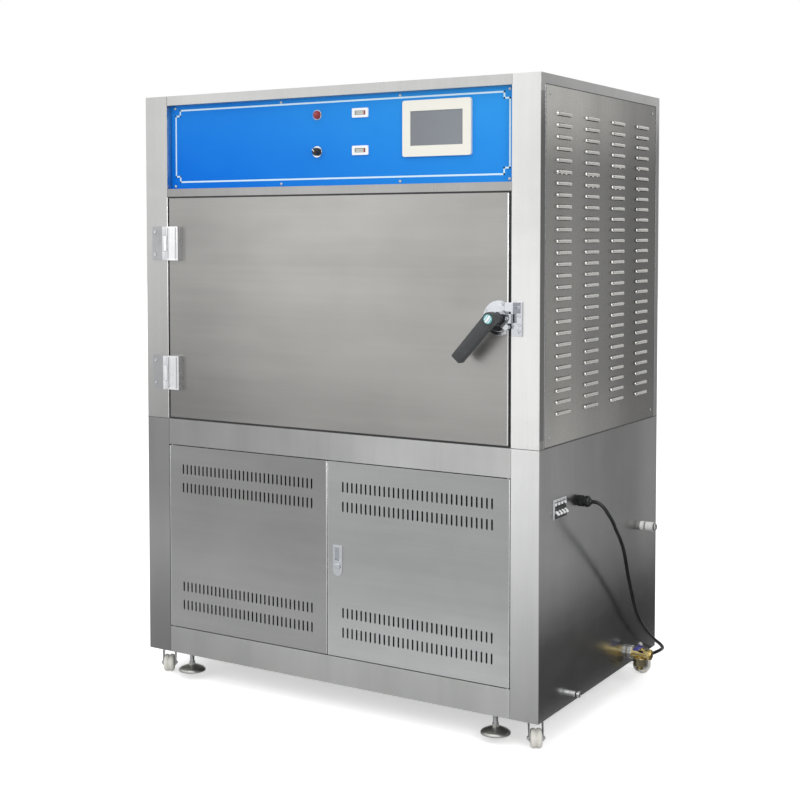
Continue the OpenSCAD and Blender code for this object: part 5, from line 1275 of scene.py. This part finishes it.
@dataclass
class SideFittings(Part):
    """Breaker, gland, water inlet, drain valve and overflow tube on the right side."""

    finishes: ClassVar = (
        (BREAKER_GREY, "breaker_body"), (CLEAR_PLASTIC, "water_inlet"), (BLACK_PART, "cord_gland"),
        (BRASS_CAST, "drain_valve"), (VALVE_SLEEVE, "drain_lever"), (BRIGHT_STEEL_AND_HIGHLIGHT, "overflow_tube"))
    breaker_at: Pair = (118.0, 604.0)
    poles: int = 4
    pole_pitch: float = 17.5
    toggle_deg: float = 38.0
    toggle_len: float = 21.0
    drum_r: float = 9.0
    inlet_at: Pair = (682.0, 458.5)
    valve_at: Pair = (592.0, 110.0)
    valve_stem: float = 36.0
    overflow_at: Pair = (192.0, 102.0)

    def add(self) -> None:
        """Adds the fittings' small pieces."""
        self.breaker()
        self.toggles()
        self.inlet()
        self.valve()
        self.overflow()

    def breaker(self) -> None:
        """Adds the breaker's dark lines, its black lower strip and its labels."""
        low, high = self.cabinet.box("breaker_body")
        x, pole = high.x, (high.y - low.y) / self.poles
        y0, y1 = low.y + 1.5, high.y - 1.5
        dark = Form().box((x - 0.2, y0, low.z + 1.5), (x + 0.35, y1, low.z + 15.0), 0.15, 1)
        dark.box((x - 0.2, y0, high.z - 7.0), (x + 0.3, y1, high.z - 5.4))
        for y in (low.y + pole * i for i in range(1, self.poles)):
            dark.box((x - 0.2, y - 0.45, low.z + 9.0), (x + 0.3, y + 0.45, high.z - 1.5))
        self.piece(dark, "breaker_lines", BLACK_PART, "black_plastic")
        labels = Form()
        for i in range(self.poles):
            at = (x + 0.2, low.y + pole * (i + 0.5), high.z - 12.5)
            labels.prism(rounded((0, 0), 11, 6, 1, 3), -0.25, 0.25, turn=placed(at, 90, "Z"))
        self.piece(labels, "breaker_labels", WHITE_SHELL, "white_plastic")

    def toggles(self) -> None:
        """Adds the black drum and tie bar of the breaker's toggles and their four white paddles."""
        x, (y, z) = self.cabinet.half - 4.0, self.breaker_at
        half, r, length = self.pole_pitch * 2 - 1.0, self.drum_r, self.toggle_len
        drum = Form().lathe((x, y - half, z), Axis.BACK, [
            (0, 0), (r - 0.5, 0), (r, 0.5), (r, 2 * half - 0.5), (r - 0.5, 2 * half), (0, 2 * half)], 36)
        drum.prism(rect(13, -2, 16, 2), 6 - half, half - 6, turn=placed((x, y, z), self.toggle_deg))
        node = "breaker_toggles"
        self.piece(drum, "toggle_drum", BLACK_PART, "black_plastic", node, 30, (node,))
        outline = [
            (7, -2.4), (length - 1, -1.9), (length, -1.1), (length, 1.3), (length - 1, 2.3), (7, 2.5)]
        paddles = Form()
        for i in range(self.poles):
            at = (x, y + (i - 1.5) * self.pole_pitch, z)
            paddles.prism(outline, -3.9, 3.9, 0.5, 2, placed(at, self.toggle_deg))
        self.piece(paddles, "toggle_paddles", WHITE_SHELL, "white_plastic", node)

    def inlet(self) -> None:
        """Adds the inlet's dark neck ring, which paints the shadow between the nut and the body, and its dark
        release ring and collet.
        """
        x = self.cabinet.box("water_inlet")[1].x
        form = Form()
        for dx, profile in (
                # The ring 33 mm back from the tip is painted shadow; the other two are the fitting's dark
                # parts.
                (-33.0, [(10.8, 0.1), (12.1, 0.3), (12.4, 2), (12.1, 3.7), (10.8, 3.9), (10.8, 0.1)]),
                (-5.5, [(9.7, 0), (11.6, 0.4), (11.9, 1.6), (11.6, 3), (9.7, 3.4), (9.7, 0)]),
                (0.0, [(5, -3), (8.6, -3), (8.6, 0.8), (7.8, 1.4), (5.6, 1.4), (5, 0.8), (5, -3)])):
            form.lathe((x + dx, *self.inlet_at), Axis.RIGHT, profile, 36)
        self.piece(form, "inlet_collet", COLLET_AND_SHADOW_GREY, "black_plastic")

    def valve(self) -> None:
        """Adds the valve's plated wall nut, the handle's nut and sleeve, and the outlet's grey sleeve."""
        half, (y, z) = self.cabinet.half, self.valve_at
        x = half + self.valve_stem
        nut = Form().lathe((half + 0.4, y, z), Axis.RIGHT, [
            (13.2, 0), (18.6, 0), (19.4, 1), (19.4, 12), (18.2, 13.8), (13.2, 14.4), (13.2, 0)], 12)
        self.piece(nut, "valve_wall_nut", VALVE_NUT, "steel", smooth=20)
        sleeve = Form().lathe((x, y, z - 45), Axis.UP, [
            (9.6, 11), (18.2, 11), (19.2, 12.2), (19.2, 31.5), (17.6, 33.4), (13, 34), (9.6, 34),
            (9.6, 11)], 14)
        self.piece(sleeve, "valve_union", OUTLET_BRASS, "brass", smooth=20)
        top = Form().lathe((x, y, z + 24), Axis.UP, [
            (0, -0.6), (7.2, -0.6), (7.2, 4.4), (6.2, 5.6), (3.4, 5.8), (3.4, 8.2), (2.6, 8.8),
            (0, 8.8)], 6)
        self.piece(top, "valve_top_nut", BRIGHT_STEEL_AND_HIGHLIGHT, "steel", "drain_lever", 20)
        grip = Form().box((x - 8.2, y - 41.5, z + 17.6), (x + 8.2, y - 10.0, z + 22.4), 2.1, 3)
        self.piece(grip, "valve_grip", VALVE_SLEEVE, "valve_blue", "drain_lever")

    def overflow(self) -> None:
        """Adds the dark ring and the bright flared tip of the overflow tube."""
        for dx, name, finish, slot, profile in (
                (16.0, "overflow_ring", BLACK_PART, "rubber_black", [
                    (7.02, 0), (8, 0.4), (8.3, 2), (8, 3.6), (7.02, 4), (7.02, 0)]),
                (21.0, "overflow_tip", BRIGHT_STEEL_AND_HIGHLIGHT, "steel", [
                    (7.02, 0), (7.9, 0.8), (8.2, 3.6), (8, 6.6), (7.1, 7.2), (5.3, 7.2), (5.3, 6),
                    (7.02, 6), (7.02, 0)])):
            form = Form().lathe((self.cabinet.half + dx, *self.overflow_at), Axis.RIGHT, profile, 32)
            self.piece(form, name, finish, slot)


@dataclass
class PowerCord(Part):
    """The mains cord: out of the gland, down the side and round behind the cabinet into a coil."""

    finishes: ClassVar = ((BLACK_PART, "power_plug"),)
    radius: float = 5.0
    coil_at: Pair = (492.0, 884.0)
    coil_r: float = 58.0
    turn_steps: int = 16
    blend_from: float = 0.6
    route: tuple[Point, ...] = (
        (671, 254, 601), (682, 254, 601), (694, 255, 597), (704, 259, 587), (712, 268, 570),
        (718, 283, 549), (720, 300, 526), (717, 340, 489), (708, 387, 447), (697, 432, 399),
        (688, 470, 356), (680, 512, 307), (673, 553, 257), (670, 592, 213), (669, 641, 171),
        (670, 703, 127), (671, 770, 88), (666, 795, 73), (653, 813, 60), (634, 826, 47),
        (611, 832, 34), (588, 833, 22), (566, 831, 13), (543, 829, 7), (520, 827, 5), (498, 826, 5))

    def add(self) -> None:
        """Adds the cord with its coil."""
        cab = self.cabinet
        points = [Vector(p) for p in self.route[:-1]] + self.coil_points()
        curve = bpy.data.curves.new("mains_cord", "CURVE")
        curve.dimensions = "3D"
        curve.bevel_depth = self.radius * MM
        curve.bevel_resolution = 3
        curve.resolution_u = 6
        curve.use_fill_caps = True
        spline = curve.splines.new("BEZIER")
        spline.bezier_points.add(len(points) - 1)
        for knot, point in zip(spline.bezier_points, points):
            knot.co = cab.at(*point)
            knot.handle_left_type = knot.handle_right_type = "AUTO"
        cord = linked("mains_cord", curve)
        bpy.context.view_layer.update()
        curve.materials.append(CORD_JACKET.material())
        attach(cord, "cabinet")
        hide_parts("power_cord", "cord_coil")
        tuple(cab.at(*self.route[0]))

    def coil_points(self) -> list[Vector]:
        """Returns the points of the coil's turns, laid beside and on each other."""
        x, y = self.coil_at
        start = math.atan2(self.route[-1][1] - y, self.route[-1][0] - x)
        d, low = 2 * self.radius, self.radius
        high = low + d * math.sqrt(3) / 2
        layers = [(0.0, low), (d, low), (-d, low), (-d / 2, high), (d / 2, high)]
        points = []
        for i in range(len(layers) * self.turn_steps + 1):
            turn = min(i // self.turn_steps, len(layers) - 1)
            share = max(0.0, (i / self.turn_steps - turn - self.blend_from) / (1 - self.blend_from))
            share = share * share * (3 - 2 * share)
            here, after = layers[turn], layers[min(turn + 1, len(layers) - 1)]
            offset, height = (a * (1 - share) + b * share for a, b in zip(here, after))
            angle, r = start - 2 * math.pi * i / self.turn_steps, self.coil_r + offset
            points.append(Vector((x + r * math.cos(angle), y + r * math.sin(angle), height)))
        return points


@dataclass
class RunningGear(Part):
    """Casters and levelling feet."""

    finishes: ClassVar = ((ZINC_PLATE, "caster_plates"),)
    kingpin: Pair = (607.0, 52.0)
    trail: float = 15.0
    turn_deg: float = 32.0
    wheel_z: float = 25.0
    wheel_w: float = 30.0
    foot_at: Pair = (504.0, 30.0)
    stem_r: float = 6.0
    thread_from: float = 46.6
    thread_pitch: float = 1.6

    def add(self) -> None:
        """Dresses the casters and feet and adds their fixings."""
        for (end, row), (side, hand) in product(zip(SIDES, ("front", "back")), zip(SIDES, ("left", "right"))):
            corner = f"{row}_{hand}"
            for finish, name in ((ZINC_PLATE, "fork"), (WHEEL_NYLON, "wheel"), (FOOT_STEEL, "foot")):
                self.cabinet.dress(finish, f"{name}_{corner}")
            self.caster(corner, side, end)
            self.threads(corner, side, end)

    def corner(self, at: Pair, side: int, end: int) -> Point:
        """Returns a corner's floor point, given its distances to the middle and to the nearer face."""
        return side * at[0], at[1] if end < 0 else self.cabinet.depth - at[1], 0

    def caster(self, corner: str, side: int, end: int) -> None:
        """Adds a caster's axle nuts, hub rings and ball race.

        Args:
            corner: the corner's name.
            side: -1 on the left, 1 on the right.
            end: -1 at the front, 1 at the back.
        """
        turn = placed(self.corner(self.kingpin, side, end), -end * self.turn_deg, "Z")
        h, y, z = self.wheel_w / 2, end * self.trail, self.wheel_z
        nuts, hubs = Form(), Form()
        for way, axis in zip(SIDES, (Axis.LEFT, Axis.RIGHT)):
            nuts.lathe((way * (h + 4), y, z), axis, [
                (0, 0), (5.4, 0), (5.4, 2.6), (4.7, 3.4), (3.2, 3.4), (3.2, 4.6), (2.6, 5), (0, 5)],
                6, turn)
            hubs.lathe((way * h, y, z), axis, [
                (4, -0.4), (13.5, -0.4), (13.5, 0.3), (12.6, 0.9), (7.5, 0.9), (6.8, 0.4), (4, 0.4),
                (4, -0.4)], 32, turn)
        race = Form().lathe((0, 0, self.cabinet.bottom - 3.15), Axis.DOWN, [
            (8, 0), (18.2, 0), (18.6, 1.2), (18.2, 2.6), (17.1, 3), (17.1, 0.6), (8, 0.6),
            (8, 0)], 32, turn)
        self.piece(nuts, f"axle_nuts_{corner}", BRIGHT_CAST, "steel", f"caster_{corner}", 20)
        self.piece(hubs, f"hub_rings_{corner}", HUB_GREY, "wheel_white", f"wheel_{corner}")
        self.piece(race, f"ball_race_{corner}", ZINC_PLATE, "steel", f"caster_{corner}")

    def threads(self, corner: str, side: int, end: int) -> None:
        """Adds the thread that shows on the stem of the foot at a corner."""
        r, z = self.stem_r, self.thread_from
        profile = [(r - 0.4, z - 0.4)]
        while z < self.cabinet.bottom - 2.5:
            profile += [(r + 0.1, z), (r + 0.75, z + 0.5), (r + 0.1, z + 1.0)]
            z += self.thread_pitch
        profile += [(r - 0.4, z), profile[0]]
        form = Form().lathe(self.corner(self.foot_at, side, end), Axis.UP, profile, 24)
        self.piece(form, f"foot_thread_{corner}", ZINC_PLATE, "cast_steel", f"foot_{corner}")


@dataclass
class Chamber(Part):
    """Everything behind the main door and the lower doors."""

    finishes: ClassVar = (
        (LINER_SHEET, "chamber_liner"), (LAMP_GLASS, "uv_lamps"), (WHITE_SHELL, "lamp_holders"),
        (RACK_STEEL, "specimen_rack", "specimen_holders", "blower_wheel"),
        (TANK_SHEET, "water_tray", "water_tank"), (MOTOR_PAINT, "blower_motor"),
        (BOARD_PAINT, "electrical_plate"))
    lamp_z: float = 1352.0
    lamp_first: float = 92.5
    lamp_pitch: float = 62.0
    lamps: int = 8
    cap_in: float = 16.0
    holder_z: float = 1099.0
    holder_rows: Pair = (189.5, 401.5)
    holder_pitch: float = 92.0
    holders: int = 12
    motor_at: Pair = (591.0, 975.0)
    motor_r: float = 55.0
    fins: int = 8
    fin_first: float = 22.0
    fin_pitch: float = 8.0
    feed_y: float = 520.0
    contactors: int = 4
    contactor_pitch: float = 62.0
    pole_pitch: float = 15.0
    terminals: int = 20
    terminal_pitch: float = 12.2
    duct_slots: int = 44

    def add(self) -> None:
        """Adds the small pieces of what the chamber and the bays hold."""
        self.lamp_caps()
        self.coupons()
        self.motor()
        self.electrics()
        self.tank()

    def lamp_caps(self) -> None:
        """Sets a metal cap with a rolled edge on each end of each lamp."""
        x = self.cabinet.box("chamber_liner")[1].x - self.cap_in
        ys = [self.lamp_first + i * self.lamp_pitch for i in range(self.lamps)]
        places = [(self.cabinet.at(side * x, y, self.lamp_z), axis) for y in ys
                  for side, axis in zip(SIDES, (Axis.LEFT, Axis.RIGHT))]
        unit = Form().lathe(ORIGIN, Axis.UP, [
            (19.02, 0), (19.7, 0.3), (20, 1.2), (19.5, 2), (19.3, 2.6), (19.3, 13.4), (19.02, 13.8),
            (19.02, 0)], 40)
        self.copies(unit, "lamp_caps", BRIGHT_CAST, "steel", places, 3)

    def coupons(self) -> None:
        """Lays a painted coupon in each specimen holder, two kinds in turn, with their spring frames."""
        xs = [(i - (self.holders - 1) / 2) * self.holder_pitch for i in range(self.holders)]
        spots = [(self.cabinet.at(x, y, self.holder_z), Axis.UP) for x in xs for y in self.holder_rows]
        for name, finish, places in (
                ("coupons_green", COUPON_A, spots[::2]), ("coupons_tan", COUPON_B, spots[1::2])):
            plate = Form().box((-30.2, -73.2, 0.05), (30.2, 73.2, 1.6), 0.5)
            self.copies(plate, name, finish, "white_plastic", places, 5)
        outer = rounded((0, 0), 61.2, 147.2, 5, 4)
        spring = Form().tube([(x, z, 1.9) for x, z in outer + outer[:1]], 0.7, 8, 2)
        self.copies(spring, "coupon_springs", BRIGHT_STEEL_AND_HIGHLIGHT, "stainless", spots, 5)

    def motor(self) -> None:
        """Adds the motor's cooling fins, its fan cover and a cable into its terminal box."""
        (y, z), r = self.motor_at, self.motor_r
        fin_ys = [y + self.fin_first + i * self.fin_pitch for i in range(self.fins)]
        places = [(self.cabinet.at(0, fin_y, z), Axis.BACK) for fin_y in fin_ys]
        fin = Form().lathe(ORIGIN, Axis.UP, [
            (r - 0.5, 0), (r + 3.6, 0.4), (r + 3.9, 1.2), (r + 3.6, 2), (r - 0.5, 2.4), (r - 0.5, 0)], 56)
        self.copies(fin, "motor_fins", FIN_DARK, "motor_paint", places, 9)
        cover = Form()
        for ring in (14.0 + k * 11.0 for k in range(4)):
            cover.lathe((0, y + 115, z), Axis.BACK, [
                (ring, -0.4), (ring + 4, -0.4), (ring + 4, 1.2), (ring + 3.2, 2), (ring + 0.8, 2),
                (ring, 1.2), (ring, -0.4)], 48)
        self.piece(cover, "motor_grille", BLACK_PART, "black_plastic")
        wire = Form().tube([
            (15, y + 58, z + 70), (40, y + 58, z + 72), (70, y + 62, z + 60), (92, y + 70, z + 20),
            (100, y + 74, z - 60), (100, y + 76, z - 176)], 3.2, 12, 8)
        self.piece(wire, "motor_wire", CORD_JACKET, "rubber_black")

    def electrics(self) -> None:
        """Adds the electrical plate's clamp screws, contactor faces, ducts and wiring."""
        low, high = self.cabinet.box("electrical_plate")
        front, strip, x0, x1, z = low.y, low.y + 32.0, low.x, high.x, high.z - 150.0
        firsts = [x0 + 40 + i * self.contactor_pitch for i in range(self.contactors)]
        poles = [(first + 7.5 + k * self.pole_pitch, k) for first in firsts for k in range(3)]
        spots = [(x, front + 10.0, z + dz) for x, _ in poles for dz in (7.0, 73.0)]
        spots += [(x1 - 270 + k * self.terminal_pitch, strip, z + dz) for k in range(self.terminals)
                  for dz in (28.0, 48.0)]
        unit = Form().lathe(ORIGIN, Axis.UP, [
            (0, -0.4), (3.4, -0.4), (3.4, 1.2), (2.9, 1.7), (0.9, 1.7), (0.6, 1), (0, 1)], 16)
        places = [(self.cabinet.at(*spot), Axis.FRONT) for spot in spots]
        self.copies(unit, "clamp_screws", ZINC_PLATE, "steel", places, 13, math.pi)
        faces, duct, red, black = Form(), Form(), Form(), Form()
        for x in firsts:
            faces.box((x + 8, front - 0.8, z + 30), (x + 37, front + 0.6, z + 50), 0.6)
        for z0 in (z - 42.0, z + 96.0):
            duct.box((x0 + 34, strip - 8, z0), (x1 - 30, strip + 26.5, z0 + 24.0), 1.0)
            for k in range(self.duct_slots):
                x = x0 + 40 + k * (x1 - x0 - 80) / self.duct_slots
                duct.box((x, strip - 8.6, z0 + 4), (x + 6.0, strip - 7.8, z0 + 20), 0.2, 1)
        for x, k in poles:
            for heights, y1, y2 in (((3, -8, -20, -30), 4, 6), ((77, 86, 94, 104), 5, 5)):
                a, b, c, d = (z + height for height in heights)
                (red if k == 1 else black).tube([
                    (x, front + 12, a), (x, front + y1, b), (x + 2, strip - y2, c),
                    (x + 3, strip - 2, d)], 1.6, 8, 5)
        self.piece(faces, "contactor_faces", FIN_DARK, "black_plastic")
        self.piece(duct, "wire_ducts", DUCT_GREY, "white_plastic")
        self.piece(red, "wires_red", WIRE_RED, "red_lens")
        self.piece(black, "wires_black", CORD_JACKET, "rubber_black")

    def tank(self) -> None:
        """Adds the tank's filler collar and its level glass with both ends."""
        low, high = self.cabinet.box("water_tank")
        collar = Form().lathe(((low.x + high.x) / 2, self.feed_y, high.z), Axis.UP, [
            (19, -8), (26, -8), (26.4, -7), (26.4, -1), (25.4, 1.2), (20.5, 1.4), (19, 0.4),
            (19, -8)], 40)
        self.piece(collar, "tank_collar", BLACK_PART, "black_plastic")
        x, y, z0, z1 = low.x + 40, low.y - 8, low.z + 30, high.z - 50
        glass = Form().tube([(x, y, z0), (x, y, low.z + 200), (x, y, z1)], 4.0, 14, 2)
        self.piece(glass, "tank_level_glass", CLEAR_PLASTIC, "white_plastic")
        ends = Form()
        for z in (z0, z1):
            ends.box((x - 7, y - 6, z - 9), (x + 7, y + 8.2, z + 9), 1.6)
        self.piece(ends, "tank_level_ends", BRIGHT_STEEL_AND_HIGHLIGHT, "steel")


@dataclass
class Studio(Part):
    """Floor, backdrop, lamps and camera."""

    camera_at: Point = (2146.2, -3135.8, 1304.9)
    yaw: float = 31.384
    pitch: float = 2.678
    focal_px: float = 1400.1
    shift: float = -0.125
    frame_px: float = 800.0
    sensor: float = 36.0
    floor_half: float = 24.0
    floor_down: float = 0.0005
    floor_glow: float = 0.5
    target: Point = (0.0, 0.0, 0.9)
    lamps: tuple[tuple[str, Point, float, float], ...] = (
        ("key_lamp", (-3.4, -4.8, 2.6), 4.6, 28.0),
        ("top_lamp", (0.2, -0.8, 5.2), 4.2, 40.0),
        ("right_lamp", (4.4, -3.2, 3.0), 2.0, 70.0))

    def add(self) -> None:
        """Makes the studio, each of its soft square lamps with a name, a place, a side and a power."""
        self.floor()
        self.world()
        for name, at, size, power in self.lamps:
            data = bpy.data.lights.new(name, "AREA")
            data.size = size
            data.energy = power
            made = linked(name, data)
            made.location = at
            made.rotation_euler = (Vector(self.target) - Vector(at)).to_track_quat("-Z", "Y").to_euler()
        self.camera()

    def floor(self) -> None:
        """Makes the pale floor, which is white to the camera and grey in reflections."""
        mesh = bpy.data.meshes.new("floor")
        s = self.floor_half
        mesh.from_pydata([(-s, -s, 0), (s, -s, 0), (s, s, 0), (-s, s, 0)], [], [(0, 1, 2, 3)])
        made = linked("floor", mesh)
        made.location.z = -self.floor_down
        material = bpy.data.materials.new("floor_paint")
        material.use_nodes = True
        graph = Graph(material.node_tree)
        seen = graph.node("ShaderNodeLightPath")["Is Camera Ray"]
        x, y, _ = graph.split(graph.place())
        dark = x.ramp(0.6, 0.75) * x.ramp(1.0, 1.35, 1.0, 0.0) * y.ramp(-0.6, -0.2)
        colour = graph.mix(seen, graph.mix(dark, grey(216), grey(84)), grey(250))
        paint = graph.node("ShaderNodeBsdfDiffuse", None, {"Color": colour})
        glow = graph.node("ShaderNodeEmission", None, {
            "Color": WHITE, "Strength": seen * self.floor_glow})
        both = graph.node("ShaderNodeAddShader", None, {0: paint[0], 1: glow[0]})
        graph.node("ShaderNodeOutputMaterial", None, {"Surface": both[0]})
        mesh.materials.append(material)

    def world(self) -> None:
        """Makes the room's light: white to the camera, paler towards the front left."""
        world = bpy.data.worlds.new("studio")
        bpy.context.scene.world = world
        world.use_nodes = True
        graph = Graph(world.node_tree)
        x, y, z = graph.split(graph.node("ShaderNodeTexCoord")["Generated"])
        front = (x * -0.52 + y * -0.85).ramp(-0.3, 0.9, 0.0, 0.58)
        above = z.ramp(0.15, 0.9, 0.0, 0.30)
        behind = (x * 0.05 + y * 1.0).ramp(0.72, 0.97, 0.0, 0.60)
        card = (x * 0.93 + y * 0.37).ramp(0.5, 0.75, 0.0, 0.58) * z.ramp(0.25, 0.7, 1.0, 0.2)
        level = (0.42 + front + above + behind) * (1.0 - card)
        seen = graph.node("ShaderNodeLightPath")["Is Camera Ray"]
        colour = graph.mix(seen, graph.mix(level.at_most(1.0), BLACK, WHITE), WHITE)
        light = graph.node("ShaderNodeBackground", None, {"Color": colour, "Strength": 1.0})
        graph.node("ShaderNodeOutputWorld", None, {"Surface": light[0]})

    def camera(self) -> None:
        """Makes the camera at the photograph's viewpoint."""
        data = bpy.data.cameras.new("camera")
        data.sensor_width = self.sensor
        data.lens = self.focal_px / self.frame_px * self.sensor
        data.shift_y = self.shift
        data.clip_end = 100.0
        made = linked("camera", data)
        made.location = self.cabinet.at(*self.camera_at)
        yaw, pitch = math.radians(self.yaw), math.radians(self.pitch)
        flat = math.cos(pitch)
        look = Vector((-math.sin(yaw) * flat, math.cos(yaw) * flat, -math.sin(pitch)))
        made.rotation_euler = look.to_track_quat("-Z", "Y").to_euler()
        bpy.context.scene.camera = made


def main() -> None:
    """Builds the studio and every sub-assembly in order."""
    logging.basicConfig(level=logging.INFO, format="%(message)s")
    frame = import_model()
    bpy.context.scene.view_settings.view_transform = "Standard"
    cabinet, repeater = Cabinet(frame["nodes"]), Repeater()
    for part in (Studio, PowerCord, Shell, ControlPanel, MainDoor, LowerDoors, SideFittings, RunningGear,
                 Chamber):
        part(cabinet, repeater).build()
        LOG.info("%s is built", part.__name__)


if __name__ == "__main__":
    main()
